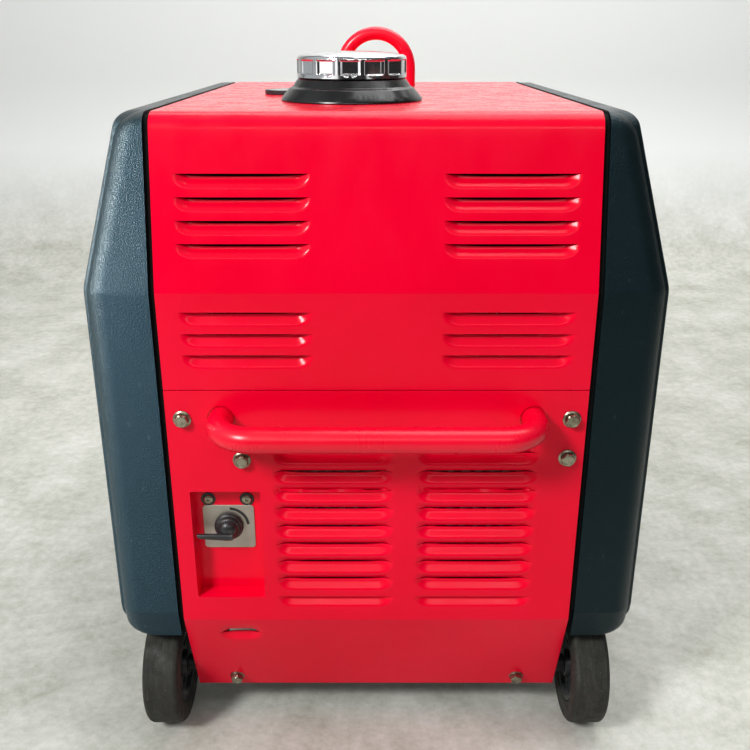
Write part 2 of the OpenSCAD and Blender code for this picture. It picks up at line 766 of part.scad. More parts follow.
module service_lid() color(cover_grey) {
  out_x = -half_w - side_raise;
  cup_r = 19;
  difference() {
    union() {
      along_x(out_x, out_x + side_wall) rounded([-lid_y, lid_y], lid_z, 1);
      translate([lid_hinge[0], 0, lid_hinge[1]]) rod_y(4, -lid_y, lid_y);
      translate([lid_hinge[0], 0, lid_hinge[1]]) rod_y(2, -lid_y - 6, lid_y + 6);
      translate([0, latch_at[0], latch_at[1]]) rod_x(cup_r + 2, out_x + 1, out_x + 11);
    }
    translate([0, latch_at[0], latch_at[1]]) rod_x(cup_r, out_x - 1, out_x + 8.5);
    translate([0, latch_at[0], latch_at[1]]) rod_x(4 + run_fit, out_x, out_x + 15);
  }
}

module lid_latch() color(black) translate([-half_w - side_raise, latch_at[0], latch_at[1]]) {
  rod_x(17.5, 5.5, 8.2);
  block([0.6, 6], [-15, 15], [-3.5, 3.5]);
  rod_x(4, 8, 15);
  block([11.3, 14], [-6, 33], [-6, 6]);
}

// ---------- control panel ----------

// A rocker lying across the panel: axis along Y, set behind the face, pressed in at its lower end
module rocker(r, half) rotate([0, -rocker_tilt, 0]) {
  translate([0, -half, 0]) rotate([-90, 0, 0]) linear_extrude(2 * half) difference() {
    circle(r);
    polygon([[r - 2, 0], [r + 2, -r], [r + 2, r]]);
    translate([-r - 1, -r - 1]) square([r - 3, 2 * r + 2]);
  }
  rod_y(1.8, -half - 3, half + 3);
}
module rocker_seat(half) {
  difference() {
    for (y = [-half - 3.8, half + 0.8]) translate([deck_x - 12, y, -5]) cube([10, 3, 10]);
    translate([deck_x - 6, 0, 0]) rod_y(1.8 + run_fit, -half - 5, half + 5);
  }
}
module rocker_hole(r, half) {
  reach = sqrt(r * r - 9) + 0.6;
  block([deck_x - 3.5, deck_x + 1], [-half - 0.5, half + 0.5], [-reach, reach]);
}

module control_panel() color(black) {
  w = deck_wall;
  difference() {
    along_x(deck_x - w, half_w + side_raise - side_wall)
      rounded([deck_y[0] - w, deck_y[1] + w], [deck_z[0] - w, deck_z[1] + w], 8);
    along_x(deck_x, half_w + 5) rounded(deck_y, deck_z, 6);
    translate([0, switch_at[0], switch_at[1]]) rod_x(4 + run_fit, 200, 220);
    translate([0, choke_at[0], choke_at[1]]) rod_x(4 + run_fit, 200, 220);
    translate([0, earth_at[0], earth_at[1]]) rod_x(3.02, 200, 220);
    for (y = lamp_y) translate([0, y, lamp_z]) rod_x(3, 200, 220);
    for (p = outlet_at) translate([0, p[0], p[1]]) rod_x(20.2, 200, 220);
    translate([0, eco_at[0], eco_at[1]]) rocker_hole(10, 7);
    translate([0, breaker_at[0], breaker_at[1]]) rocker_hole(13, 9);
  }
  translate([0, eco_at[0], eco_at[1]]) rocker_seat(7);
  translate([0, breaker_at[0], breaker_at[1]]) rocker_seat(9);
}

module engine_switch() color(red) translate([0, switch_at[0], switch_at[1]]) {
  rod_x(15, deck_x + gap, deck_x + 4.5);
  block([deck_x + 4, deck_x + 9.5], [-3, 3], [-14, 14]);
  rod_x(4, 203, deck_x + 1);
}
module choke_knob() color(black) translate([0, choke_at[0], choke_at[1]]) {
  rod_x(11, deck_x + 2, deck_x + 9);
  rod_x(4, 190, deck_x + 3);
}
module eco_switch() color([0.2, 0.5, 0.25])
  translate([deck_x - 6, eco_at[0], eco_at[1]]) rocker(10, 7);
module ac_breaker() color(black) translate([deck_x - 6, breaker_at[0], breaker_at[1]]) rocker(13, 9);

// An outlet, its face towards +X
module outlet() {
  face = deck_x + 3.5;
  h = outlet_half;
  difference() {
    union() {
      along_x(deck_x, face) rounded([-h, h], [-h, h], 4);
      rod_x(20, deck_x - 16, deck_x + 1);
      for (s = [-1, 1]) block([deck_x + 1, deck_x + 7], [s * 19.5 - 2.5, s * 19.5 + 2.5], [h - 5.5, h]);
    }
    for (s = [-1, 1]) block([face - 9, face + 1], [s * 6.3 - 0.9, s * 6.3 + 0.9], [-2, 5]);
    translate([0, 0, -9]) rod_x(2.4, face - 9, face + 1);
    translate([deck_x + 5.2, 0, flap_half + 0.2]) rod_y(1.2 + run_fit, -25, 25);
  }
}
module flap() {
  axis = [deck_x + 5.2, flap_half + 0.2];
  h = flap_half;
  along_x(deck_x + 3.9, deck_x + 6.6) rounded([-h, h], [-h, h - 5], 3);
  block([deck_x + 3.9, deck_x + 6.6], [-16, 16], [h - 8, h]);
  translate([axis[0], 0, axis[1]]) {
    rod_y(1.3, -16.5, 16.5);
    rod_y(1.2, -22, 22);
  }
}
module ac_outlets() color([0.75, 0.74, 0.7])
  for (p = outlet_at) translate([0, p[0], p[1]]) outlet();
module upper_outlet_cover() color(black)
  translate([0, outlet_at[0][0], outlet_at[0][1]]) flap();
module lower_outlet_cover() color(black)
  translate([0, outlet_at[1][0], outlet_at[1][1]]) flap();

module pilot_lamps() color([0.3, 0.8, 0.3]) for (y = lamp_y) translate([0, y, lamp_z]) {
  rod_x(4.5, deck_x, deck_x + 1.2);
  rod_x(2.98, deck_x - 5, deck_x + 3);
}
module earth_terminal() color([0.8, 0.65, 0.3]) translate([0, earth_at[0], earth_at[1]]) {
  rod_x(3, 204, deck_x + 9.5);
  rod_x(6.5, deck_x, deck_x + 2);
  translate([deck_x + 2, 0, 0]) rotate([0, 90, 0]) cylinder(d = 11.5, h = 4, $fn = 6);
}

// ---------- recoil starter ----------

module recoil_pocket() color(black) difference() {
  floor_x = 193;
  along_x(floor_x, half_w + side_raise - side_wall)
    rounded(grip_y, [grip_z[0] - 3, grip_z[1] + 3], 11);
  along_x(floor_x + 3, half_w + 5) rounded([grip_y[0] + 3, grip_y[1] - 3], grip_z, 8);
  translate([0, rope[0], rope[1]]) rod_x(4, 190, 200);
}

module recoil_grip() color(black) translate([0, rope[0], rope[1]]) {
  bar = 35;
  rod_x(2.2, 40, 205);
  translate([209, 0, 0]) {
    rod_y(11, -bar, bar);
    for (s = [-1, 1]) translate([0, s * bar, 0]) sphere(11);
  }
  translate([196 + gap, 0, 0]) rotate([0, 90, 0]) cylinder(r1 = 6, r2 = 10, h = 8);
}

module recoil_starter() color(black) difference() {
  r = 91;
  depth = 111;
  translate([0, 0, crank_z]) difference() {
    rod_y(r, block_y[0] - depth - 4, block_y[0]);
    rod_y(r - 3, block_y[0] - depth, block_y[0] + 1);
    for (i = [0:11]) rotate([0, i * 30, 0])
      translate([55, block_y[0] - depth - 5, -5]) cube([24, 7, 10]);
  }
  translate([0, rope[0], rope[1]]) rod_x(5, 30, 100);
}

// ---------- engine ----------

module at_cylinder() translate([0, 0, crank_z]) rotate([0, -cyl_a, 0]) children();

module engine_block() color(cast) difference() {
  union() {
    along_y(block_y[0], block_y[1]) rounded([-75, 75], [165, 300], 18);
    at_cylinder() {
      block([-42, 42], [14, 86], [45, 118]);
      for (i = [0:5]) block([-48, 48], [9, 91], [72 + 8 * i, 75.5 + 8 * i]);
    }
    for (s = [-1, 1], y = mount_y)
      block([s * mount_x - 15, s * mount_x + 15], [y - 15, y + 15], [165, 185]);
  }
  translate([0, 0, crank_z]) rod_y(crank_r + run_fit, block_y[0] - 5, block_y[1] + 5);
  at_cylinder() translate([0, 50, 0]) rod_z(33, 40, 120);
}

module cylinder_head() color(cast) at_cylinder() {
  for (i = [0:3]) block([-48, 48], [8, 92], [118 + 9 * i, 122 + 9 * i]);
  block([-40, 40], [14, 86], [118, 152]);
  block([-36, 36], [18, 82], [150, 170]);
}

module crankshaft() color(zinc) translate([0, 0, crank_z]) rod_y(crank_r, -92, 122);

module rotor() color(cast) translate([0, 0, crank_z]) {
  cup = [-84, -30];
  difference() {
    rod_y(84, cup[0], cup[1]);
    rod_y(75, cup[0] + 7, cup[1] + 1);
    rod_y(crank_r, cup[0] - 1, cup[1]);
  }
  for (i = [0:11]) rotate([0, i * 30, 0])
    translate([30, cup[0] - 8, -1.5]) cube([48, 8.5, 3]);
}

module stator() color([0.6, 0.35, 0.15]) translate([0, 0, crank_z]) difference() {
  union() {
    rod_y(40, -40, block_y[0]);
    rod_y(64, -68, -34);
    for (i = [0:11]) rotate([0, i * 30, 0])
      translate([60, -66, -9]) cube([13, 30, 18]);
  }
  rod_y(16, -70, block_y[0] + 1);
}

module engine_mounts() color(black)
  for (s = [-1, 1], y = mount_y) translate([s * mount_x, y, 0]) rod_z(13, rail_z[1], 165);

module carburettor() color(cast) at_cylinder() translate([0, 0, 134]) {
  difference() {
    union() {
      rod_y(20, -14, 8);
      block([-20, 20], [-44, -12], [-22, 16]);
      translate([0, -28, 0]) rod_z(14, -38, -20);
    }
    rod_y(12, -50, 4);
  }
}

module air_cleaner() color(black) difference() {
  along_y(-140, -44) rounded([-138, -46], [326, 394], 10);
  along_y(-138, -46) rounded([-136, -48], [328, 392], 8);
  at_cylinder() translate([0, 0, 134]) rod_y(12, -60, -40);
}

module muffler() color([0.45, 0.42, 0.38]) {
  box_y = [152, 236];
  box_x = [-98, 140];
  box_z = [225, 380];
  w = 1.6;
  difference() {
    union() {
      along_y(box_y[0], box_y[1]) rounded(box_x, box_z, 20);
      at_cylinder() translate([0, 0, 134]) rod_y(14, 92, box_y[0] + 1);
      translate([tailpipe[0], 0, tailpipe[1]]) {
        rod_y(16, box_y[1] - 1, half_l);
        rod_y(15, half_l - 1, half_l + 18);
      }
    }
    along_y(box_y[0] + w, box_y[1] - w)
      rounded([box_x[0] + w, box_x[1] - w], [box_z[0] + w, box_z[1] - w], 20 - w);
    at_cylinder() translate([0, 0, 134]) rod_y(12, 91, box_y[0] + 5);
    translate([tailpipe[0], 0, tailpipe[1]]) rod_y(13, box_y[1] - 5, half_l + 20);
  }
}

// ---------- inverter ----------

module inverter_unit() color(cast) difference() {
  block([-85, 130], [-210, -142], [rail_z[0] + 0.5, 300]);
  for (x = [-76:12:120]) block([x, x + 7], [-211, -192], [125, 301]);
}

upper_cover();
front_panel();
rear_panel();
left_cover();
right_cover();
edge_seals();
front_handle();
rear_handle();
panel_bolts();
small_screws();
cock_label_plate();
cock_lever();
fuel_cock_valve();
fuel_hose();
fuel_tank();
filler_boot();
fuel_cap_insert();
fuel_cap_shell();
fuel_gauge();
gauge_lens();
gauge_needle();
lifting_hook();
chassis();
front_axle();
left_tyre();
left_hub();
right_tyre();
right_hub();
caster_plates();
left_caster_fork();
right_caster_fork();
left_caster_wheel();
right_caster_wheel();
left_caster_brake();
right_caster_brake();
service_lid();
lid_latch();
control_panel();
engine_switch();
choke_knob();
eco_switch();
ac_breaker();
ac_outlets();
upper_outlet_cover();
lower_outlet_cover();
pilot_lamps();
earth_terminal();
recoil_pocket();
recoil_grip();
recoil_starter();
engine_block();
cylinder_head();
crankshaft();
rotor();
stator();
engine_mounts();
carburettor();
air_cleaner();
muffler();
inverter_unit();
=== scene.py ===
import json
import math

import bmesh
import bpy
from mathutils import Matrix, Vector

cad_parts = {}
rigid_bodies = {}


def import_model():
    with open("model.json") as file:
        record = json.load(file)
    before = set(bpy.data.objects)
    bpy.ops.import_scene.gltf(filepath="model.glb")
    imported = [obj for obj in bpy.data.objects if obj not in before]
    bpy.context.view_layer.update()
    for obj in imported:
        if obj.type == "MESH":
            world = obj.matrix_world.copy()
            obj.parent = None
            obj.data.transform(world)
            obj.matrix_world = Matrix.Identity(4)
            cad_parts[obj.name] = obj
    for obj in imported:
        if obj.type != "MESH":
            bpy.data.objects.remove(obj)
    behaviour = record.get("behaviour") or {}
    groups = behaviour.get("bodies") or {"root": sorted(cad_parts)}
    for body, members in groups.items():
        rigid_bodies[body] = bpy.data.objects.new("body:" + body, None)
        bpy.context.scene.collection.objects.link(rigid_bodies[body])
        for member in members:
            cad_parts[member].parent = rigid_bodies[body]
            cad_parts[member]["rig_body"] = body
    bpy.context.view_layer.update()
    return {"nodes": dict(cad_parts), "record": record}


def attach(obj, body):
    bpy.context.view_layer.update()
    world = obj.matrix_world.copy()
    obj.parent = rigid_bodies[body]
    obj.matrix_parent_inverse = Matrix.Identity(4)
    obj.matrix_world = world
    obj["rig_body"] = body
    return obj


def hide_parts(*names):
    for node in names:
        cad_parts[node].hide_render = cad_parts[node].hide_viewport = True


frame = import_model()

MM = 0.001
scene = bpy.context.scene
scene.view_settings.view_transform = "Standard"
NODES = frame["nodes"]
SLOT = {s["node"]: s["material_slot"] for s in frame["record"]["subparts"]}

# ---------- camera ----------

camera_data = bpy.data.cameras.new("camera")
camera_data.sensor_width = 36
camera_data.lens = 42.48
camera = bpy.data.objects.new("camera", camera_data)
camera.location = (-0.001, -0.908, 0.607)
camera.rotation_euler = (math.radians(69.1), 0, 0)
scene.collection.objects.link(camera)
scene.camera = camera

# ---------- sizes, in millimetres, as in the CAD ----------

HALF_L = 265                 # from the middle to each end
PANEL_HALF_W = 167           # from the middle to the red sheets' side edges
CREASE_Z = 427               # the ends lean in above it
TOP_Z = 556
SEAM_Z = 349                 # the upper cover's foot
UNDERCUT_Z = 134             # the end panels turn under below it
SKIRT_Y, SKIRT_Z = 228, 35   # the front skirt's foot
REAR_LOW_Z = 112             # the rear panel's foot
LEAN_Y = 238                 # the leaning ends would meet the top here
ROLL_R = 15                  # the top edges' roll
BEND_R = 3                   # the sheets' other bends
SEAM_GAP = 0.8               # between the end panels and the upper cover
COVER_SHEET = 1.2            # thicknesses of the red sheets
PANEL_SHEET = 1.6

LOUVER_H = 10                # from the slit to the foot of the dent
LOUVER_D = 4.5               # depth of the dent
LOUVER_STRIP = 3.8           # full-depth strip below the slit
LOUVER_END = 13              # length of a dent's rounded end
LOUVER_REACH = LOUVER_H + 3  # rows farther than this from a slit are plain
UPPER_GROUPS = ((-150, 101), (50.5, 101))  # x and length of the slits
LOWER_GROUPS = ((-84.5, 99), (33, 99))
SKIRT_GROUP = (-138, 37)
LEAN_SLITS = [88 - 17.1 * i for i in range(4)]  # from the crease, up the slope
UPRIGHT_SLITS = [412 - 17.2 * i for i in range(3)]
LOWER_SLITS = [293.5 - 17 * i for i in range(9)]
SKIRT_SLIT = 21              # from the undercut's bend, down the slope
LEAN_GAP, UPRIGHT_GAP, SKIRT_GAP = 1.7, 2.4, 3.6  # how far the slits gape

POCKET_X = (-153, -95.5)
POCKET_Z = (157, 259)
POCKET_DEPTH = 15
POCKET_Y = POCKET_DEPTH - HALF_L
COCK = (-124.8, 219.3)
HANDLE_LEGS = (-123, 125)
HANDLE_Z = 324
HANDLE_HOLE_R = 11.2
FILLER = (-21, -105)
FILLER_HOLE_R = 42
GAUGE = (-84, -15)
GAUGE_HOLE_R = 18.3
HOOK_X, HOOK_Y = 33.7, 50
HOOK_HOLE_R = 7.4
TAILPIPE = (85, 242)
TAILPIPE_HOLE_R = 22
TAILPIPE_ROOM = 30           # plain sheet above the tailpipe


# ---------- materials ----------

MOST = (0.3, 0.7)            # where most of a noise's values are
MIX_A, MIX_B, MIX_RESULT = 6, 7, 2  # a Mix node's colour sockets


class Graph:
    """Short ways to add nodes to a tree; a value may be another node's output."""

    def __init__(self, tree):
        self.tree = tree

    def feed(self, socket, value):
        if isinstance(value, bpy.types.NodeSocket):
            self.tree.links.new(value, socket)
        else:
            socket.default_value = value

    def node(self, kind, inputs=None, **settings):
        n = self.tree.nodes.new(kind)
        for key, value in settings.items():
            setattr(n, key, value)
        for key, value in (inputs or {}).items():
            self.feed(n.inputs[key], value)
        return n

    def part(self, vector, axis):
        return self.node("ShaderNodeSeparateXYZ", {0: vector}).outputs[axis]

    def calc(self, operation, a, b):
        return self.node("ShaderNodeMath", {0: a, 1: b}, operation=operation).outputs[0]

    def ramp(self, fac, low, high, at=(0.0, 1.0)):
        """Values or colours from low to high as fac goes through the range at."""
        if isinstance(low, tuple):
            return self.mix(self.rise(fac, *at), low, high)
        ends = {"Value": fac, "From Min": at[0], "From Max": at[1], "To Min": low, "To Max": high}
        return self.node("ShaderNodeMapRange", ends).outputs["Result"]

    def rise(self, fac, start, end):
        """0 up to start, 1 from end on."""
        return self.ramp(fac, 0.0, 1.0, (start, end))

    def mix(self, fac, a, b):
        a, b = (v if isinstance(v, bpy.types.NodeSocket) else (*v, 1.0) for v in (a, b))
        ends = {"Factor": fac, MIX_A: a, MIX_B: b}
        return self.node("ShaderNodeMix", ends, data_type="RGBA").outputs[MIX_RESULT]


class Finish(Graph):
    """A Principled material with textures placed by the object's own coordinates."""

    def __init__(self, name, **sockets):
        self.material = bpy.data.materials.new(name)
        self.material.use_nodes = True
        super().__init__(self.material.node_tree)
        self.shader = next(n for n in self.tree.nodes if n.type == "BSDF_PRINCIPLED")
        self.where = self.node("ShaderNodeTexCoord").outputs["Object"]
        for key, value in sockets.items():
            self.shader.inputs[key.replace("_", " ")].default_value = value

    def times(self, a, b):
        return self.calc("MULTIPLY", a, b)

    def noise(self, scale, detail=3.0, rough=0.5, stretch=None):
        where = self.where
        if stretch:
            mapping = self.node("ShaderNodeMapping", {"Vector": where, "Scale": stretch})
            where = mapping.outputs["Vector"]
        inputs = {"Vector": where, "Scale": scale, "Detail": detail, "Roughness": rough}
        return self.node("ShaderNodeTexNoise", inputs).outputs["Fac"]

    def pebbles(self, scale):
        inputs = {"Vector": self.where, "Scale": scale, "Randomness": 1.0}
        n = self.node("ShaderNodeTexVoronoi", inputs, feature="SMOOTH_F1")
        return n.outputs["Distance"]

    def on_top(self):
        """1 on the top of the body, 0 elsewhere."""
        normal = self.node("ShaderNodeNewGeometry").outputs["Normal"]
        facing_up = self.rise(self.part(normal, "Z"), 0.6, 0.98)
        return self.times(facing_up, self.rise(self.part(self.where, "Z"), 0.53, 0.55))

    def bump(self, height, strength, distance, under=None):
        inputs = {"Strength": strength, "Distance": distance, "Height": height}
        if under is not None:
            inputs["Normal"] = under
        return self.node("ShaderNodeBump", inputs).outputs["Normal"]

    def done(self, color, roughness, normal=None):
        self.feed(self.shader.inputs["Base Color"], color)
        self.feed(self.shader.inputs["Roughness"], roughness)
        if normal is not None:
            self.feed(self.shader.inputs["Normal"], normal)
        return self.material


def paint(name, dark, light, rough=(0.15, 0.26), level=0.17):
    """Gloss paint with a little orange peel, and dust where it faces up on the top."""
    f = Finish(name, Specular_IOR_Level=level)
    base = f.ramp(f.noise(7, 4), dark, light, MOST)
    specks = f.rise(f.noise(1500, 2, 0.7), 0.62, 0.72)
    film = f.rise(f.noise(22, 5, 0.65), 0.42, 0.75)
    dirt = f.calc("ADD", f.times(specks, 0.8), f.times(film, 0.25))
    dirt = f.times(dirt, f.on_top())
    color = f.mix(f.times(dirt, 0.3), base, (0.55, 0.45, 0.40))
    wipe = f.noise(45, 4, 0.6, (1, 1, 0.35))
    peel = f.bump(f.noise(420, 2), 0.05, 0.0004)
    return f.done(color, f.ramp(wipe, *rough, MOST), f.bump(f.noise(11, 2), 0.02, 0.004, peel))


def grained(name, dark, light, rough=(0.38, 0.55), grain=900, tint=(1, 1, 1)):
    """Plastic with a pebbled grain, some fine scratches, and dust on the top. A tint other than
    white paints a colour of light into its reflections.
    """
    depth, strength = 0.00045, 0.85
    f = Finish(name, Specular_IOR_Level=0.22, Specular_Tint=(*tint, 1))
    base = f.ramp(f.noise(6, 5, 0.6), dark, light, MOST)
    scratch = f.ramp(f.noise(160, 3, 0.6, (1, 8, 0.6)), 0.0, 0.5, (0.66, 0.74))
    color = f.mix(scratch, base, tuple(min(1.0, c * 2.2 + 0.02) for c in light))
    dust = f.times(f.on_top(), f.ramp(f.noise(30, 5, 0.6), 0.1, 0.5, (0.35, 0.7)))
    color = f.mix(f.times(dust, 0.35), color, (0.30, 0.29, 0.26))
    pebbles = f.bump(f.pebbles(grain), strength, depth)
    fine = f.bump(f.noise(grain * 2.3, 3), strength * 0.4, depth * 0.6, pebbles)
    return f.done(color, f.ramp(f.noise(35, 4, 0.6), *rough, MOST), fine)


def moulded(name, dark, light, rough=(0.3, 0.5), dust=0.3, level=0.5):
    """Smooth plastic or rubber with rubbed patches."""
    f = Finish(name, Specular_IOR_Level=level)
    base = f.ramp(f.noise(25, 4), dark, light, MOST)
    rub = f.rise(f.noise(120, 4, 0.65), 0.55, 0.78)
    color = f.mix(f.times(rub, dust), base, (0.20, 0.19, 0.17))
    return f.done(color, f.ramp(f.noise(60, 4), *rough, MOST),
                  f.bump(f.noise(1400, 2), 0.12, 0.0002))


def metal(name, dark, light, rough=(0.22, 0.42), brush=None, bump=0.08, stain=None):
    """Bare or plated metal; brush stretches its fine lines, stain is the colour of its spots."""
    f = Finish(name, Metallic=1.0)
    base = f.ramp(f.noise(60, 5, 0.6), dark, light, MOST)
    if stain:
        base = f.mix(f.ramp(f.noise(140, 5, 0.7), 0.0, 0.85, (0.55, 0.72)), base, stain)
    fine = f.noise(500, 3, 0.6, brush) if brush else f.noise(300, 3)
    return f.done(base, f.ramp(fine, *rough, (0.25, 0.75)), f.bump(fine, bump, 0.0002))


def tyre_finish():
    f = Finish("tyre_rubber")
    base = f.ramp(f.noise(28, 6, 0.65), (0.006, 0.006, 0.0045), (0.020, 0.020, 0.014), (0.3, 0.72))
    streaks = f.rise(f.noise(420, 3, 0.7, (1, 0.12, 0.12)), 0.5, 0.75)
    color = f.mix(f.times(streaks, 0.3), base, (0.09, 0.088, 0.066))
    chips = f.rise(f.noise(900, 2, 0.6), 0.7, 0.76)
    color = f.mix(f.times(chips, 0.5), color, (0.42, 0.40, 0.36))
    scuff = f.bump(f.noise(260, 5, 0.7), 0.4, 0.0006)
    return f.done(color, f.ramp(f.noise(90, 4), 0.62, 0.9, MOST),
                  f.bump(f.noise(1500, 2), 0.3, 0.0003, scuff))


def chrome_finish():
    f = Finish("chrome_plate", Metallic=1.0)
    haze = f.noise(70, 5, 0.7)
    color = f.ramp(haze, (0.72, 0.72, 0.73), (0.56, 0.55, 0.54), (0.45, 0.75))
    pits = f.rise(f.noise(800, 2, 0.6), 0.70, 0.76)
    color = f.mix(f.times(pits, 0.6), color, (0.20, 0.17, 0.14))
    return f.done(color, f.ramp(haze, 0.06, 0.24, (0.35, 0.75)),
                  f.bump(f.noise(90, 2), 0.04, 0.001))


def winding_finish():
    f = Finish("copper_winding", Metallic=0.8)
    turns = f.node("ShaderNodeTexWave", {"Vector": f.where, "Scale": 260},
                   wave_type="BANDS", bands_direction="DIAGONAL")
    return f.done(f.ramp(f.noise(30), (0.35, 0.12, 0.03), (0.62, 0.27, 0.09), MOST),
                  f.ramp(f.noise(80), 0.25, 0.45), f.bump(turns.outputs["Fac"], 0.8, 0.0008))


def lens_finish():
    f = Finish("clear_lens", Transmission_Weight=1.0, IOR=1.49)
    return f.done(f.ramp(f.noise(40), (0.90, 0.93, 0.94), (0.97, 0.98, 0.98)),
                  f.ramp(f.noise(180, 4, 0.7), 0.02, 0.16, (0.4, 0.8)))


RED = ((0.74, 0.0, 0.020), (0.84, 0.0, 0.028))
FINISH = {
    "red_paint": paint("red_paint", *RED),
    # the side covers' reflections are tinted blue: a painted bluish sheen standing in for bluish
    # daylight
    "cover_plastic": grained("cover_plastic", (0.0022, 0.0060, 0.0076), (0.0040, 0.0092, 0.0115),
                             (0.28, 0.4), 1400, (0.5, 0.86, 1.0)),
    "black_rubber": moulded("black_rubber", (0.0010, 0.0011, 0.0012), (0.003, 0.003, 0.003),
                            (0.2, 0.34), 0.02),
    "zinc_plate": metal("zinc_plate", (0.22, 0.20, 0.14), (0.42, 0.40, 0.31), (0.24, 0.4),
                        stain=(0.10, 0.08, 0.04)),
    "label_plate": metal("label_plate", (0.40, 0.37, 0.32), (0.50, 0.47, 0.42), (0.4, 0.6),
                         (1, 1, 12)),
    "black_plastic": moulded("black_plastic", (0.008, 0.009, 0.010), (0.020, 0.021, 0.023)),
    "tank_paint": paint("tank_paint", (0.012, 0.012, 0.013), (0.022, 0.022, 0.023)),
    "chrome_plate": chrome_finish(),
    "clear_lens": lens_finish(),
    "needle_orange": moulded("needle_orange", (0.62, 0.12, 0.01), (0.75, 0.18, 0.02), dust=0.05),
    "chassis_paint": paint("chassis_paint", (0.010, 0.010, 0.011), (0.020, 0.020, 0.021),
                           (0.35, 0.55), 0.4),
    "tyre_rubber": tyre_finish(),
    "caster_rubber": moulded("caster_rubber", (0.012, 0.012, 0.012), (0.030, 0.029, 0.027),
                             (0.5, 0.75), 0.6),
    "brake_red": moulded("brake_red", (0.35, 0.010, 0.012), (0.48, 0.016, 0.018), dust=0.15),
    "panel_plastic": grained("panel_plastic", (0.010, 0.012, 0.014), (0.016, 0.019, 0.022),
                             grain=1300),
    "switch_red": moulded("switch_red", (0.45, 0.012, 0.010), (0.58, 0.018, 0.014), dust=0.08),
    "switch_green": moulded("switch_green", (0.02, 0.20, 0.06), (0.03, 0.27, 0.09), dust=0.08),
    "outlet_ivory": moulded("outlet_ivory", (0.52, 0.49, 0.40), (0.62, 0.59, 0.50), dust=0.12),
    "lamp_green": moulded("lamp_green", (0.04, 0.40, 0.10), (0.08, 0.55, 0.16), (0.08, 0.2), 0.0),
    "earth_brass": metal("earth_brass", (0.50, 0.34, 0.10), (0.72, 0.55, 0.22)),
    "cast_alloy": metal("cast_alloy", (0.28, 0.28, 0.28), (0.46, 0.46, 0.46), (0.45, 0.7),
                        bump=0.35),
    "steel_shaft": metal("steel_shaft", (0.42, 0.42, 0.42), (0.6, 0.6, 0.6), (0.2, 0.35),
                         (12, 1, 12)),
    "rotor_iron": metal("rotor_iron", (0.16, 0.16, 0.16), (0.26, 0.26, 0.26), (0.4, 0.6),
                        bump=0.25),
    "copper_winding": winding_finish(),
    "hot_steel": metal("hot_steel", (0.20, 0.16, 0.12), (0.40, 0.35, 0.28), (0.35, 0.6),
                       stain=(0.16, 0.08, 0.04)),
}
HANDLE_PAINT = paint("handle_paint", *RED, (0.24, 0.36), 0.42)
PRINT_BLACK = moulded("print_black", (0.006, 0.006, 0.006), (0.012, 0.012, 0.012),
                      (0.45, 0.6), 0.05)
PRINT_WHITE = moulded("print_white", (0.62, 0.62, 0.60), (0.72, 0.72, 0.70), (0.45, 0.6), 0.1)
SEAL_FOAM = moulded("seal_foam", (0.001, 0.001, 0.001), (0.003, 0.003, 0.003), (0.7, 0.9),
                    0.02, 0.1)


# ---------- pieces ----------

SOFT_ANGLE = 30              # degrees; sharper edges are rounded


def shade(bm, angle):
    """Smooth faces, with hard edges where the surface turns by more than angle."""
    for f in bm.faces:
        f.smooth = True
    for e in bm.edges:
        e.smooth = len(e.link_faces) != 2 or e.calc_face_angle(0.0) < math.radians(angle)


def to_mesh(bm, name, angle):
    shade(bm, angle)
    mesh = bpy.data.meshes.new(name)
    bm.to_mesh(mesh)
    bm.free()
    return mesh


def reshade(o, angle):
    """Shades an object's mesh again, after its shape has changed."""
    bm = bmesh.new()
    bm.from_mesh(o.data)
    shade(bm, angle)
    bm.to_mesh(o.data)
    bm.free()


def add_piece(name, bm, angle, body, slot, nodes=(), material=None):
    """A piece made of bm that rides on a body and takes the place of CAD nodes."""
    mesh = to_mesh(bm, name, angle)
    o = bpy.data.objects.new(name, mesh)
    scene.collection.objects.link(o)
    mesh.materials.append(material or FINISH[slot])
    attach(o, body)
    if nodes:
        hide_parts(*nodes)
    return o


def soften(o, width):
    bevel = o.modifiers.new("round_edges", "BEVEL")
    bevel.width = width * MM
    bevel.segments = 2
    bevel.limit_method = "ANGLE"
    bevel.angle_limit = math.radians(SOFT_ANGLE)
    bevel.use_clamp_overlap = True
    weights = o.modifiers.new("even_shading", "WEIGHTED_NORMAL")
    weights.keep_sharp = True


def from_cad(node, width):
    """A CAD node's shape with rounded edges, or smooth shading alone where width is 0."""
    bm = bmesh.new()
    bm.from_mesh(NODES[node].data)
    bmesh.ops.remove_doubles(bm, verts=bm.verts, dist=2e-6)
    bmesh.ops.dissolve_limit(bm, angle_limit=math.radians(0.5), verts=bm.verts, edges=bm.edges)
    o = add_piece(node + "_look", bm, SOFT_ANGLE, NODES[node]["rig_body"], SLOT[node], (node,))
    if width:
        soften(o, width)
    return o


def settle(o):
    """Turns an object's modifiers into its mesh."""
    graph = bpy.context.evaluated_depsgraph_get()
    mesh = bpy.data.meshes.new_from_object(o.evaluated_get(graph))
    o.modifiers.clear()
    old = o.data
    o.data = mesh
    bpy.data.meshes.remove(old)


def outward(bm):
    bmesh.ops.recalc_face_normals(bm, faces=bm.faces)


def tube(bm, rings):
    """A solid through closed rings of vertices, with its ends filled."""
    for a, b in zip(rings, rings[1:]):
        for k in range(len(a)):
            m = (k + 1) % len(a)
            bm.faces.new((a[k], b[k], b[m], a[m]))
    bm.faces.new(rings[0])
    bm.faces.new(rings[-1][::-1])
    outward(bm)


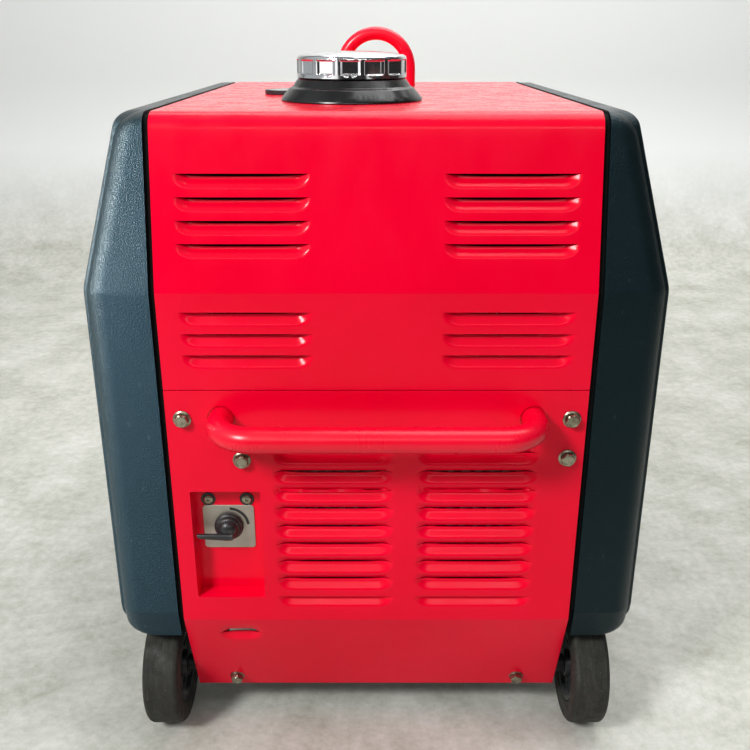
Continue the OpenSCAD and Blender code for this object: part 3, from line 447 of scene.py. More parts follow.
def lathe(bm, profile, place, steps):
    """Turns a profile of (radius, height) points about Z.

    A radius may be a function of the angle.
    """
    rings = []
    for i in range(steps):
        a = 2 * math.pi * i / steps
        ring = []
        for r, h in profile:
            r = r(a) if callable(r) else r
            point = Vector((r * math.cos(a) * MM, r * math.sin(a) * MM, h * MM))
            ring.append(bm.verts.new(place @ point))
        rings.append(ring)
    for a, b in zip(rings, rings[1:] + rings[:1]):
        for j in range(len(profile) - 1):
            bm.faces.new((a[j], b[j], b[j + 1], a[j + 1]))
    bmesh.ops.remove_doubles(bm, verts=bm.verts, dist=1e-6)
    outward(bm)


def at_place(place):
    return Matrix.Translation(Vector(place) * MM)


def facing(place, out):
    """A frame at a place in millimetres with its Z along out."""
    return at_place(place) @ Vector(out).to_track_quat("Z", "Y").to_matrix().to_4x4()


def fillet(points, radius, steps):
    """A closed outline with its corners rounded."""
    out = []
    for i, p in enumerate(points):
        p = Vector(p)
        a, b = Vector(points[i - 1]) - p, Vector(points[(i + 1) % len(points)]) - p
        room = 0.49 * min(a.length, b.length)
        a, b = a.normalized(), b.normalized()
        half = a.angle(b) / 2
        cut = min(radius / math.tan(half), room)
        centre = p + (a + b).normalized() * (cut / math.cos(half))
        start, end = p + a * cut - centre, p + b * cut - centre
        sweep = math.copysign(math.pi - 2 * half, start.cross(end))
        for k in range(steps + 1):
            c, s = math.cos(sweep * k / steps), math.sin(sweep * k / steps)
            out.append((centre[0] + start[0] * c - start[1] * s,
                        centre[1] + start[0] * s + start[1] * c))
    return out


def box(x0, x1, y0, y1):
    """The corners of a rectangle."""
    return [(x0, y0), (x1, y0), (x1, y1), (x0, y1)]


# ---------- red sheets ----------

GRID_STEP = 9                # widest cell of a sheet's grid
GRID_GAP = 0.15              # lines closer than this are merged
SHEET_ANGLE = 50             # degrees; sharper edges stay hard
HOLE_CUT, WINDOW_CUT = 16, 28  # lengths of the shapes that cut holes and windows
SMALL = 1e-6
END_FINE = [-1.6, -0.6, 0, 0.8, 1.7, 2.8, 4, 5.4, 7, 8.8, 10.8, 13]  # columns at a dent's ends
DENT_ROWS = [0, 3.6, 4.2, 5.4, 6.8, 8, 8.8, 9.6, 10.4, 11.2]         # rows below a slit
POCKET_FINE = [-0.2, 0, 0.2, 0.4, 0.6, 0.75, 0.9, 1.2, 2]            # lines at the pocket's rim


class Fold:
    """A sheet's side view: straight runs joined by bends, measured by the length t along it."""

    def __init__(self, points, bends):
        self.points = [Vector(p) for p in points]
        self.bends = bends
        self.at = [0.0]
        for a, b in zip(self.points, self.points[1:]):
            self.at.append(self.at[-1] + (b - a).length)

    def run(self, i):
        return (self.points[i + 1] - self.points[i]).normalized()

    def bend(self, k):
        """Angle of the bend at the point k, and how far it reaches to each side."""
        theta = self.run(k - 1).angle(self.run(k))
        return theta, self.bends[k] * math.tan(theta / 2)

    def bend_rows(self, k, count):
        reach = self.bend(k)[1]
        return [round(self.at[k] + reach * (2 * i / count - 1), 4) for i in range(count + 1)]

    def place(self, t):
        """The point and the outward normal at t."""
        for k in range(1, len(self.points) - 1):
            a, b = self.run(k - 1), self.run(k)
            theta, reach = self.bend(k)
            if abs(t - self.at[k]) < reach:
                out = Vector((-a[1], a[0]))
                sign = 1 if a.cross(b) < 0 else -1
                centre = self.points[k] - a * reach - out * sign * self.bends[k]
                angle = -sign * theta * (t - self.at[k] + reach) / (2 * reach)
                c, s = math.cos(angle), math.sin(angle)
                n = Vector((out[0] * c - out[1] * s, out[0] * s + out[1] * c))
                return centre + n * sign * self.bends[k], n
        k = max(i for i in range(len(self.points) - 1) if self.at[i] <= t + 1e-9)
        d = self.run(k)
        return self.points[k] + d * (t - self.at[k]), Vector((-d[1], d[0]))


class Dent:
    """A louver: a slit at t, with the sheet dented on the side that down points to."""

    ARCH = 0.3               # share of the length over which the gap opens up
    SOFT = 0.18              # share of the depth over which the dent's foot is rounded
    SLACK = 2                # the dent is still looked at this far outside

    def __init__(self, x, length, t, down, gap):
        self.x, self.length, self.t, self.down, self.gap = x, length, t, down, gap

    def from_end(self, x):
        return min(x - self.x, self.x + self.length - x)

    def opening(self, x):
        """How far below the slit the dent's cut edge is at x."""
        u = self.from_end(x) / (self.ARCH * self.length)
        return self.gap * math.sin(math.pi / 2 * min(1.0, u)) if u > 0 else 0.0

    def depth(self, x, t, edge):
        """Depth of the sheet at x and t; edge is flush or dent on the slit's two sides."""
        v = (t - self.t) * self.down
        if edge == "flush" and abs(v) < SMALL or v < -SMALL or v > LOUVER_H + self.SLACK:
            return 0.0
        u = self.from_end(x)
        if u < -self.SLACK:
            return 0.0
        q = math.hypot(max(0.0, 1 - u / LOUVER_END) * LOUVER_H, v)
        if q <= LOUVER_STRIP:
            return LOUVER_D
        slope = (LOUVER_H - q) / (LOUVER_H - LOUVER_STRIP)
        if slope > self.SOFT:
            return LOUVER_D * min(1.0, slope)
        if slope > -self.SOFT:
            return LOUVER_D * (slope + self.SOFT) ** 2 / (4 * self.SOFT)
        return 0.0


def grid_lines(marks, low, high):
    """Grid lines from low to high: one at each mark, more where the cells are too wide."""
    values = sorted({low, high} | {round(m, 4) for m in marks if low <= m <= high})
    out = [values[0]]
    for a, b in zip(values, values[1:]):
        if b - a < GRID_GAP and b != high:
            continue
        a = out[-1]
        n = max(1, math.ceil((b - a) / GRID_STEP))
        out += [a + (b - a) * (i + 1) / n for i in range(n)]
    return out


def columns(groups, more=()):
    marks = set(more)
    for x, w in groups:
        marks |= {round(x + f, 4) for f in END_FINE} | {round(x + w - f, 4) for f in END_FINE}
    return grid_lines(marks, -PANEL_HALF_W, PANEL_HALF_W)


def rows_for(dents, more, high):
    marks = set(more)
    for d in dents:
        marks |= {round(d.t + d.down * f, 4) for f in DENT_ROWS}
    return grid_lines(marks, 0.0, high)


def stamped(fold, dents, xs, ts, extra=None, flip=False):
    """The sheet along a fold, with its dents; extra gives more depth, flip turns it to the rear.

    At a slit there are two rows, the flush edge and the dent's, with no faces between them.
    """
    slit_side = {round(d.t, 4): d.down for d in dents}
    rows = []                # (t, edge, whether faces join it to the row before)
    for t in ts:
        down = slit_side.get(round(t, 4))
        if down is None:
            rows.append((t, "", True))
        elif down > 0:
            rows += [(t, "flush", True), (t, "dent", False)]
        else:
            rows += [(t, "dent", True), (t, "flush", False)]
    bm = bmesh.new()
    grid = []
    for t, edge, _ in rows:
        near = [d for d in dents if abs(d.t - t) < LOUVER_REACH]
        slit = [d for d in near if abs(d.t - t) < 1e-3]
        line = []
        for x in xs:
            at = t
            if edge == "dent":
                at += max([d.opening(x) * d.down for d in slit], key=abs, default=0.0)
            p, n = fold.place(at)
            depth = max([d.depth(x, at, edge) for d in near] + [0.0])
            if extra:
                depth += extra(x, p)
            q = p - n * depth
            line.append(bm.verts.new((x * MM, (-q[0] if flip else q[0]) * MM, q[1] * MM)))
        grid.append(line)
    for j in range(len(rows) - 1):
        if not rows[j + 1][2]:
            continue
        for i in range(len(xs) - 1):
            quad = (grid[j][i], grid[j][i + 1], grid[j + 1][i + 1], grid[j + 1][i])
            bm.faces.new(quad[::-1] if flip else quad)
    bmesh.ops.remove_doubles(bm, verts=bm.verts, dist=2e-5)
    return bm


def thicken(o, thick):
    solid = o.modifiers.new("thickness", "SOLIDIFY")
    solid.thickness = thick * MM
    solid.offset = -1


def cut_with(o, bm):
    """Cuts the shapes in bm out of an object."""
    mesh = bpy.data.meshes.new("cutter")
    bm.to_mesh(mesh)
    bm.free()
    cutter = bpy.data.objects.new("cutter", mesh)
    scene.collection.objects.link(cutter)
    boolean = o.modifiers.new("holes", "BOOLEAN")
    boolean.operation = "DIFFERENCE"
    boolean.solver = "EXACT"
    boolean.object = cutter
    settle(o)
    bpy.data.objects.remove(cutter)


def sheet_piece(name, bm, thick, holes, turn):
    """A red sheet with its thickness and its round holes, each (centre, radius).

    The holes are cut along the Z of turn.
    """
    o = add_piece(name + "_look", bm, SHEET_ANGLE, "body", "red_paint", (name,))
    thicken(o, thick)
    bm = bmesh.new()
    for centre, r in holes:
        bmesh.ops.create_cone(bm, cap_ends=True, segments=64, radius1=r * MM, radius2=r * MM,
                              depth=HOLE_CUT * MM, matrix=at_place(centre) @ turn)
    cut_with(o, bm)
    reshade(o, SHEET_ANGLE)


cover_fold = Fold([(-HALF_L, SEAM_Z), (-HALF_L, CREASE_Z), (-LEAN_Y, TOP_Z), (LEAN_Y, TOP_Z),
                   (HALF_L, CREASE_Z), (HALF_L, SEAM_Z)],
                  [0, BEND_R, ROLL_R, ROLL_R, BEND_R, 0])
whole = cover_fold.at[-1]
cover_slits = [(cover_fold.at[1] + s, LEAN_GAP) for s in LEAN_SLITS]
cover_slits += [(z - SEAM_Z, UPRIGHT_GAP) for z in UPRIGHT_SLITS]
cover_dents = []
for x, w in UPPER_GROUPS:
    for t, gap in cover_slits:
        cover_dents += [Dent(x, w, t, -1, gap), Dent(x, w, whole - t, 1, gap)]
cover_bends = [t for k, count in ((1, 4), (2, 10), (3, 10), (4, 4))
               for t in cover_fold.bend_rows(k, count)]
cover_bm = stamped(cover_fold, cover_dents, columns(UPPER_GROUPS),
                   rows_for(cover_dents, cover_bends, whole))
sheet_piece("upper_cover", cover_bm, COVER_SHEET,
            [((*FILLER, TOP_Z), FILLER_HOLE_R), ((*GAUGE, TOP_Z), GAUGE_HOLE_R),
             ((-HOOK_X, HOOK_Y, TOP_Z), HOOK_HOLE_R), ((HOOK_X, HOOK_Y, TOP_Z), HOOK_HOLE_R)],
            Matrix.Identity(4))


def smooth_step(t):
    t = min(1.0, max(0.0, t))
    return t * t * (3 - 2 * t)


def pocket_depth(x, p):
    """Depth of the fuel cock's pocket at a place on the upright face."""
    corner_r, wall = 2, 0.9
    if p[1] < UNDERCUT_Z + BEND_R:
        return 0.0
    past_x, past_z = (abs(v - (low + high) / 2) - (high - low) / 2 + corner_r
                      for v, (low, high) in ((x, POCKET_X), (p[1], POCKET_Z)))
    inside = corner_r - math.hypot(max(past_x, 0), max(past_z, 0)) - min(max(past_x, past_z), 0)
    return POCKET_DEPTH * smooth_step(inside / wall)


def rim_lines(span):
    """Grid lines at both rims of the pocket."""
    return [span[0] + f for f in POCKET_FINE] + [span[1] - f for f in POCKET_FINE]


def end_panel(name, low_z, front):
    """A lower end panel.

    The front one has the pocket and the skirt's slit, the rear one the tailpipe's hole.
    """
    slope = (HALF_L - SKIRT_Y) / (UNDERCUT_Z - SKIRT_Z)
    low_y = HALF_L - (UNDERCUT_Z - low_z) * slope
    fold = Fold([(-low_y, low_z), (-HALF_L, UNDERCUT_Z), (-HALF_L, SEAM_Z - SEAM_GAP)],
                [0, BEND_R, 0])
    under = fold.at[1]
    dents = [Dent(x, w, under + z - UNDERCUT_Z, -1, UPRIGHT_GAP)
             for x, w in LOWER_GROUPS for z in LOWER_SLITS
             if front or x < 0 or z > TAILPIPE[1] + TAILPIPE_ROOM]
    groups, marks, more = list(LOWER_GROUPS), [], fold.bend_rows(1, 4)
    if front:
        dents.append(Dent(*SKIRT_GROUP, under - SKIRT_SLIT, -1, SKIRT_GAP))
        groups.append(SKIRT_GROUP)
        marks = rim_lines(POCKET_X)
        more += [under - UNDERCUT_Z + z for z in rim_lines(POCKET_Z)]
    bm = stamped(fold, dents, columns(groups, marks), rows_for(dents, more, fold.at[-1]),
                 pocket_depth if front else None, flip=not front)
    end = -HALF_L if front else HALF_L
    holes = [((x, end, HANDLE_Z), HANDLE_HOLE_R) for x in HANDLE_LEGS]
    if not front:
        holes.append(((TAILPIPE[0], end, TAILPIPE[1]), TAILPIPE_HOLE_R))
    sheet_piece(name, bm, PANEL_SHEET, holes, Matrix.Rotation(math.pi / 2, 4, "X"))


end_panel("front_panel", SKIRT_Z, True)
end_panel("rear_panel", REAR_LOW_Z, False)

# ---------- side covers ----------

COVER_IN = 171.5             # the covers' inner edges
COVER_OUT = 222.5            # their rims' outer faces
RAISE = 2.5                  # the middle stands out from the rims
COVER_SKIN = 3.4             # thickness
COVER_LOW = 112.8
COVER_TURN_Z = 141           # the ends turn under below it
COVER_SETBACK = 6            # by this much at the foot
SHOULDER_A = math.radians(13.3)
RIM_SHOULDER_R, SHOULDER_R = 25, 14
FOOT_R = 12
EDGE_R = 18                  # rounding of the end edges
CREASE_SOFT = 5              # the crease is rounded this far to each side
COVER_ANGLE = 40             # degrees; sharper edges stay hard
LEAN_A = math.atan((HALF_L - LEAN_Y) / (TOP_Z - CREASE_Z))
ROLL_Z = TOP_Z - ROLL_R
ROLL_Y = HALF_L - (ROLL_Z - CREASE_Z) * math.tan(LEAN_A) - ROLL_R / math.cos(LEAN_A)
SIDE_ROWS = (380, 330, 280, 230, 180, 150, 142, 141.5, 141, 140.5, 140, 138)  # heights, downwards
BULGE_Z = COVER_LOW + FOOT_R + 10  # the raised middle is rounded off below it
BULGE_ROWS = (BULGE_Z, 133, 131.5, 130, 128.6, 127.6, 126.6, COVER_LOW + FOOT_R)
# rows from an end towards the middle: (distance, share of the raised middle)
RIM_ROWS = [(0, 0)] + [(EDGE_R * (1 - math.cos(math.pi / 2 * i / 13)), 0) for i in range(1, 9)]
RIM_ROWS += [(11.2, 0), (11.7, 0.04), (12.1, 0.25), (12.6, 0.7), (13.2, 0.93), (14.2, 1), (16, 1),
             (18, 1), (26, 1), (60, 1)]


def end_y(z):
    """How far the ends stand from the middle at the height z."""
    if z > ROLL_Z + ROLL_R * math.sin(LEAN_A):
        return ROLL_Y + math.sqrt(max(0.0, ROLL_R ** 2 - (z - ROLL_Z) ** 2))
    under = max(0.0, COVER_TURN_Z - z) * COVER_SETBACK / (COVER_TURN_Z - COVER_LOW)
    return HALF_L - max(0.0, z - CREASE_Z) * math.tan(LEAN_A) - under


def cover_section(out, shoulder_r):
    """A side cover's section, from the top's inner edge round to the foot.

    Each point is (x, z, how far the skin faces sideways there).
    """
    slope = math.tan(SHOULDER_A)
    cz = TOP_Z - shoulder_r
    cx = out - (cz - CREASE_Z) * slope - shoulder_r / math.cos(SHOULDER_A)
    points = [(COVER_IN, TOP_Z, 0.0), ((COVER_IN + cx) / 2, TOP_Z, 0.0)]
    for i in range(13):
        a = math.pi / 2 + (SHOULDER_A - math.pi / 2) * i / 12
        points.append((cx + shoulder_r * math.cos(a), cz + shoulder_r * math.sin(a), math.cos(a)))
    x, z, _ = points[-1]
    points += [(x + (out - x) * i / 4, z + (CREASE_Z - z) * i / 4, 1.0) for i in range(1, 4)]
    points += [(out - (CREASE_SOFT + d) ** 2 / (4 * CREASE_SOFT) * slope, CREASE_Z + d, 1.0)
               for d in (5, 3, 1, -1, -3, -5)]
    points += [(out, z, 1.0) for z in SIDE_ROWS]
    for z in BULGE_ROWS:
        bulge = out - FOOT_R + math.sqrt(FOOT_R ** 2 - (BULGE_Z - z) ** 2)
        points.append((max(COVER_OUT, bulge), z, 1.0))
    foot_x, foot_z = COVER_OUT - FOOT_R, COVER_LOW + FOOT_R
    for i in range(1, 9):
        a = math.pi / 2 * i / 8
        points.append((foot_x + FOOT_R * math.cos(a), foot_z - FOOT_R * math.sin(a), 1.0))
    return points + [((foot_x + COVER_IN) / 2, COVER_LOW, 0.0), (COVER_IN, COVER_LOW, 0.0)]


def cover_blank(side):
    """The skin of a side cover: rims at the ends, and a raised middle between them."""
    rim = cover_section(COVER_OUT, RIM_SHOULDER_R)
    middle = cover_section(COVER_OUT + RAISE, SHOULDER_R)
    bm = bmesh.new()
    grid = []
    for end in (-1, 1):
        part = [[bm.verts.new((side * COVER_IN * MM, end * end_y(z) * MM, z * MM))
                 for _, z, _ in rim]]
        for s, raised in RIM_ROWS:
            inset = EDGE_R - math.sqrt(EDGE_R ** 2 - (EDGE_R - min(s, EDGE_R)) ** 2)
            line = []
            for (xa, za, na), (xb, zb, _) in zip(rim, middle):
                x, z = xa + (xb - xa) * raised, za + (zb - za) * raised
                x = max(COVER_IN, x - inset * na)
                line.append(bm.verts.new((side * x * MM, end * (end_y(z) - s) * MM, z * MM)))
            part.append(line)
        grid += part if end < 0 else part[::-1]
    for a, b in zip(grid, grid[1:]):
        for i in range(len(a) - 1):
            bm.faces.new((a[i], a[i + 1], b[i + 1], b[i]))
    bmesh.ops.remove_doubles(bm, verts=bm.verts, dist=2e-5)
    bmesh.ops.dissolve_degenerate(bm, edges=bm.edges, dist=1e-5)
    outward(bm)
    if sum(f.normal.x * side * f.calc_area() for f in bm.faces) < 0:
        bmesh.ops.reverse_faces(bm, faces=bm.faces)
    return bm


def side_cover(name, side, windows):
    """A side cover with rounded windows, each (y and z range, corner radius)."""
    o = add_piece(name + "_look", cover_blank(side), COVER_ANGLE, "body", "cover_plastic", (name,))
    thicken(o, COVER_SKIN)
    bm = bmesh.new()
    for span, r in windows:
        outline = fillet(box(*span), r, 6)
        tube(bm, [[bm.verts.new(((side * COVER_OUT + d) * MM, y * MM, z * MM)) for y, z in outline]
                  for d in (-WINDOW_CUT / 2, WINDOW_CUT / 2)])
    cut_with(o, bm)
    reshade(o, COVER_ANGLE)
    return o


LID_WINDOW = ((-150, 150, 175.4, 400), 1)
PANEL_WINDOW = ((-205, -15, 230, 405), 6)
STARTER_WINDOW = ((-164, -60, 145, 205), 8)
left_cover = side_cover("left_cover", -1, [LID_WINDOW])
side_cover("right_cover", 1, [PANEL_WINDOW, STARTER_WINDOW])

# the blocks that the service lid turns on
EARS = ((-219, -154, 180), (-219, 154, 180))
EAR_SIZE = Vector((9.8, 7.8, 13.8)) * MM
bm = bmesh.new()
for place in EARS:
    bmesh.ops.create_cube(bm, size=1, matrix=at_place(place) @ Matrix.Diagonal((*EAR_SIZE, 1)))
ears = add_piece("hinge_ears", bm, SOFT_ANGLE, "body", "cover_plastic")
soften(ears, 0.8)

# ---------- fasteners ----------

END_BOLTS = ((-154, 324), (-108.5, 288), (155, 324), (154, 290))
SKIRT_BOLT_X = (-130, 131)
SKIRT_BOLT_DOWN = 91.8       # from the undercut's bend, down the slope
END_FLANGE_R, SKIRT_FLANGE_R = 7.25, 6.5
END_SHANK, SKIRT_SHANK, SCREW_SHANK = 14, 6.4, 9
POCKET_SCREWS = ((-141.1, 244.4), (-108.6, 244.4))
COVER_SCREWS = [(s * 181, y, 108.8) for s in (-1, 1) for y in (-135, 75)]
HEX_FLAT = 10                # across the flats
FASTENER_ANGLE = 28          # degrees; sharper edges stay hard
FRONT, REAR, DOWN = (0, -1, 0), (0, 1, 0), (0, 0, -1)


def hexagon(limit):
    """Radius of the bolt's hexagon against the angle, cut off at a largest radius."""
    twelfth = math.pi / 6
    return lambda a: min(limit, HEX_FLAT / 2 / math.cos((a + twelfth) % (2 * twelfth) - twelfth))


def flange_bolt(bm, place, out, flange_r, turn, shank):
    frame_at = facing(place, out) @ Matrix.Rotation(math.radians(turn), 4, "Z")
    lathe(bm, [(0, -shank), (2.6, -shank), (3, 0.4 - shank), (3, 0), (flange_r - 0.3, 0),
               (flange_r, 0.3), (flange_r, 0.7), (flange_r - 0.5, 1.2), (5.95, 1.6), (5.75, 0.9),
               (hexagon(5.5), 0.9), (hexagon(5.8), 1.2), (hexagon(5.8), 4.6), (hexagon(5.45), 5.2),
               (4.75, 5.9), (4.4, 6.05), (3.9, 6.05), (3.5, 5.5), (0, 5.5)], frame_at, 72)


def pan_screw(bm, place, out):
    lathe(bm, [(0, -SCREW_SHANK), (2.1, -SCREW_SHANK), (2.5, 0.5 - SCREW_SHANK), (2.5, 0),
               (4.35, 0), (4.35, 1.0), (3.9, 1.9), (2.9, 2.45), (1.4, 2.6), (1.2, 1.2), (0, 1.2)],
          facing(place, out), 48)


bm = bmesh.new()
for i, (x, z) in enumerate(END_BOLTS):
    flange_bolt(bm, (x, -HALF_L, z), FRONT, END_FLANGE_R, 17 + 41 * i, END_SHANK)
    flange_bolt(bm, (x, HALF_L, z), REAR, END_FLANGE_R, 31 * i, END_SHANK)
down_skirt = Vector((0, HALF_L - SKIRT_Y, SKIRT_Z - UNDERCUT_Z)).normalized()
low = Vector((0, -HALF_L, UNDERCUT_Z)) + down_skirt * SKIRT_BOLT_DOWN
for x in SKIRT_BOLT_X:
    flange_bolt(bm, low + Vector((x, 0, 0)), (0, down_skirt.z, -down_skirt.y), SKIRT_FLANGE_R, x,
                SKIRT_SHANK)
add_piece("panel_bolts_look", bm, FASTENER_ANGLE, "body", "zinc_plate", ("panel_bolts",))

bm = bmesh.new()
for x, z in POCKET_SCREWS:
    pan_screw(bm, (x, POCKET_Y, z), FRONT)
for place in COVER_SCREWS:
    pan_screw(bm, place, DOWN)
add_piece("small_screws_look", bm, FASTENER_ANGLE, "body", "zinc_plate", ("small_screws",))

# black rings round the two pocket screws: painted shade, standing for the dark of the screw holes
# seen round the heads
bm = bmesh.new()
for x, z in POCKET_SCREWS:
    lathe(bm, [(4.2, 0), (6.1, 0), (6.1, 0.5), (5.7, 0.8), (4.2, 0.8), (4.2, 0)],
          facing((x, POCKET_Y, z), FRONT), 48)
add_piece("pocket_screw_shade_rings", bm, FASTENER_ANGLE, "body", "black_rubber")

# ---------- fuel cock ----------

PLATE_Y = POCKET_Y - 0.8     # the label plate's face
BLADE_RISE = 2.4             # the lever's blade sits this far above the knob's axis
# the blade's sections, as (x, z, half thickness, near and far ends), all from the knob's axis
BLADE = ((4.5, -6.6, 2.9, 10.2, 15.0), (0, -6.9, 3.1, 10.0, 15.0), (-8, -6.5, 2.7, 10.4, 15.0),
         (-17, -6.1, 2.3, 10.9, 14.9), (-23, -5.9, 2.0, 11.2, 14.8), (-25.3, -5.3, 1.3, 11.9, 14.2))


def ribs(r, depth):
    """Radius of the knob's ribbed edge against the angle."""
    return lambda a: r - depth * (0.5 + 0.5 * math.cos(40 * a)) ** 2


bm = bmesh.new()
lathe(bm, [(0, -14), (2.4, -14), (3, -13.4), (3, 1.1), (11.6, 1.1), (12.2, 1.7), (12.2, 3.6),
           (11.4, 4.6), (ribs(10.6, 0.5), 5.0), (ribs(9.8, 0.6), 7.0), (8.4, 7.6), (7.6, 9.4),
           (6.2, 11.2), (4.2, 12.4), (2.0, 12.9), (0, 13)],
      facing((COCK[0], POCKET_Y, COCK[1]), FRONT), 160)
rings = []
for x, z, half, near, far in BLADE:
    rings.append([bm.verts.new(((COCK[0] + x) * MM, (POCKET_Y - y) * MM,
                                (COCK[1] + BLADE_RISE + z + v) * MM))
                  for v, y in fillet(box(-half, half, near, far), half * 0.7, 4)])
tube(bm, rings)
add_piece("cock_lever_look", bm, 40, "fuel_cock", "black_plastic", ("cock_lever",))

ARC_R, ARC_FROM, ARC_TO, ARC_STEPS = (15.0, 17.4), 4, 86, 32
ARC_THICK = 0.05
bm = bmesh.new()
rings = []
for i in range(ARC_STEPS + 1):
    a = math.radians(ARC_FROM + (ARC_TO - ARC_FROM) * i / ARC_STEPS)
    rings.append([bm.verts.new(((COCK[0] + r * math.cos(a)) * MM, y * MM,
                                (COCK[1] + r * math.sin(a)) * MM))
                  for r, y in box(*ARC_R, PLATE_Y - ARC_THICK, PLATE_Y)])
tube(bm, rings)
add_piece("cock_arc", bm, SOFT_ANGLE, "body", "label_plate", material=PRINT_BLACK)

# ---------- filler cap ----------

GRIPS = 14
CAP_R = 46.9
CAP_LOW = TOP_Z + 18.6       # the cap's lower edge


def grip_edge(recess):
    """Radius of the cap's edge: flat recesses between rounded ridges."""
    def radius(a):
        turn = (a * GRIPS / (2 * math.pi)) % 1.0 - 0.5
        flat = (CAP_R - recess) / math.cos(turn * 2 * math.pi / GRIPS)
        return flat + (CAP_R - flat) * smooth_step((abs(turn) - 0.30) / 0.13)
    return radius


bm = bmesh.new()
lathe(bm, [(0, 18.4), (30, 17.6), (42, 15.5), (42, 3), (43, 0.3), (43.4, 0), (46.3, 0),
           (CAP_R, 0.5), (CAP_R, 2.9), (grip_edge(0.5), 3.3), (grip_edge(1.6), 3.8),
           (grip_edge(1.9), 4.4), (grip_edge(1.9), 4.9), (grip_edge(1.9), 13.6),
           (grip_edge(1.9), 14.0), (grip_edge(1.4), 14.6), (grip_edge(0.4), 14.9), (CAP_R, 15.2),
           (46.6, 16.6), (45.8, 17.7), (44.4, 18.5), (42.4, 18.9), (40, 19.0), (38.6, 19.5),
           (30, 20.6), (15, 21.4), (0, 21.6)], at_place((*FILLER, CAP_LOW)), GRIPS * 24)
lathe(bm, [(8.05, -1.3), (12, -1.3), (12, 18.6), (8.05, 18.6), (8.05, -1.3)],
      at_place((*FILLER, CAP_LOW)), 64)
fuel_cap = add_piece("fuel_cap_look", bm, 50, "cap_shell", "chrome_plate", ("fuel_cap_shell",))

# ---------- marks on the panel and the gauge ----------

DECK_X = 215                 # the control panel's face
DIAL_Z = TOP_Z + 0.6         # the gauge's face
MARK = 0.06                  # the marks stand out by this much
MARK_ROOT = -0.1             # and start below the surface
FIELDS = ((-199, -153, 374, 396), (-199, -153, 312, 366), (-199, -153, 262, 304),
          (-146, -98, 346, 384), (-146, -98, 293, 342), (-92, -24, 326, 390),
          (-92, -24, 244, 308))  # outlined fields, as ranges of y and z
ENGINE_KNOB = (-176, 338)
LAMPS_Y, LAMPS_Z = (-190, -176, -162), 384
ROCKERS_Y = -122
EARTH_Y, EARTH_Z = -162, 247


def line_mark(bm, points, width, place):
    """A printed line through points (u, v); place turns (u, v, height) into a point in space."""
    for a, b in zip(points, points[1:]):
        a, b = Vector(a), Vector(b)
        run = (b - a).normalized() * width / 2
        side = Vector((-run[1], run[0]))
        corners = [a - run + side, a - run - side, b + run - side, b + run + side]
        tube(bm, [[bm.verts.new(place(u, v, h)) for u, v in corners] for h in (MARK_ROOT, MARK)])


def on_deck(u, v, h):
    return Vector((DECK_X + h, u, v)) * MM


def on_dial(u, v, h):
    return Vector((GAUGE[0] + u, GAUGE[1] + v, DIAL_Z + h)) * MM


def on_circle(centre, r, degrees):
    a = math.radians(degrees)
    return centre[0] + r * math.cos(a), centre[1] + r * math.sin(a)


def ring(centre, r, a0=0, a1=360):
    """Points on a circle from the angle a0 to a1."""
    return [on_circle(centre, r, a0 + (a1 - a0) * i / 24) for i in range(25)]


def tick(centre, r0, r1, a):
    """The ends of a short line across a circle, at the angle a."""
    return [on_circle(centre, r0, a), on_circle(centre, r1, a)]


bm = bmesh.new()
for span in FIELDS:
    outline = fillet(box(*span), 4, 5)
    line_mark(bm, outline + outline[:1], 0.7, on_deck)
line_mark(bm, ring(ENGINE_KNOB, 19, 100, 170), 0.6, on_deck)
for a in (90, 180):
    line_mark(bm, tick(ENGINE_KNOB, 17.3, 20.6, a), 1.4, on_deck)
line_mark(bm, [(-163, 285), (-156.5, 285)], 0.9, on_deck)  # an arrow beside the choke
line_mark(bm, [(-158.6, 287.4), (-156.2, 285), (-158.6, 282.6)], 0.9, on_deck)
for z in (379.6, 336.6):
    line_mark(bm, [(ROCKERS_Y, z - 2.2), (ROCKERS_Y, z + 2.2)], 0.9, on_deck)
for z in (350.6, 299):
    line_mark(bm, ring((ROCKERS_Y, z), 2.3), 0.8, on_deck)
for y in LAMPS_Y:
    line_mark(bm, ring((y, LAMPS_Z), 6.2), 0.5, on_deck)
line_mark(bm, [(EARTH_Y, EARTH_Z + 5), (EARTH_Y, EARTH_Z)], 0.7, on_deck)
for k, half in enumerate((3.6, 2.3, 1.0)):
    z = EARTH_Z - 1.7 * k
    line_mark(bm, [(EARTH_Y - half, z), (EARTH_Y + half, z)], 0.7, on_deck)
add_piece("panel_marks", bm, SOFT_ANGLE, "body", "panel_plastic", material=PRINT_WHITE)

DIAL_R, DIAL_FROM, DIAL_STEP = 16.8, 220, 25
bm = bmesh.new()
line_mark(bm, ring((0, 0), DIAL_R, DIAL_FROM, DIAL_FROM + 4 * DIAL_STEP), 0.5, on_dial)
for i in range(5):
    inner = 15.2 if i % 2 else 14.4
    line_mark(bm, tick((0, 0), inner, DIAL_R, DIAL_FROM + DIAL_STEP * i), 0.7, on_dial)
add_piece("gauge_marks", bm, SOFT_ANGLE, "body", "black_plastic", material=PRINT_WHITE)

# ---------- the other pieces ----------

OWN_SHAPES = {"left_cover", "right_cover", "upper_cover", "front_panel", "rear_panel",
              "panel_bolts", "small_screws", "fuel_cap_shell", "cock_lever"}
PAINTED_BARS = ("front_handle", "rear_handle", "lifting_hook")
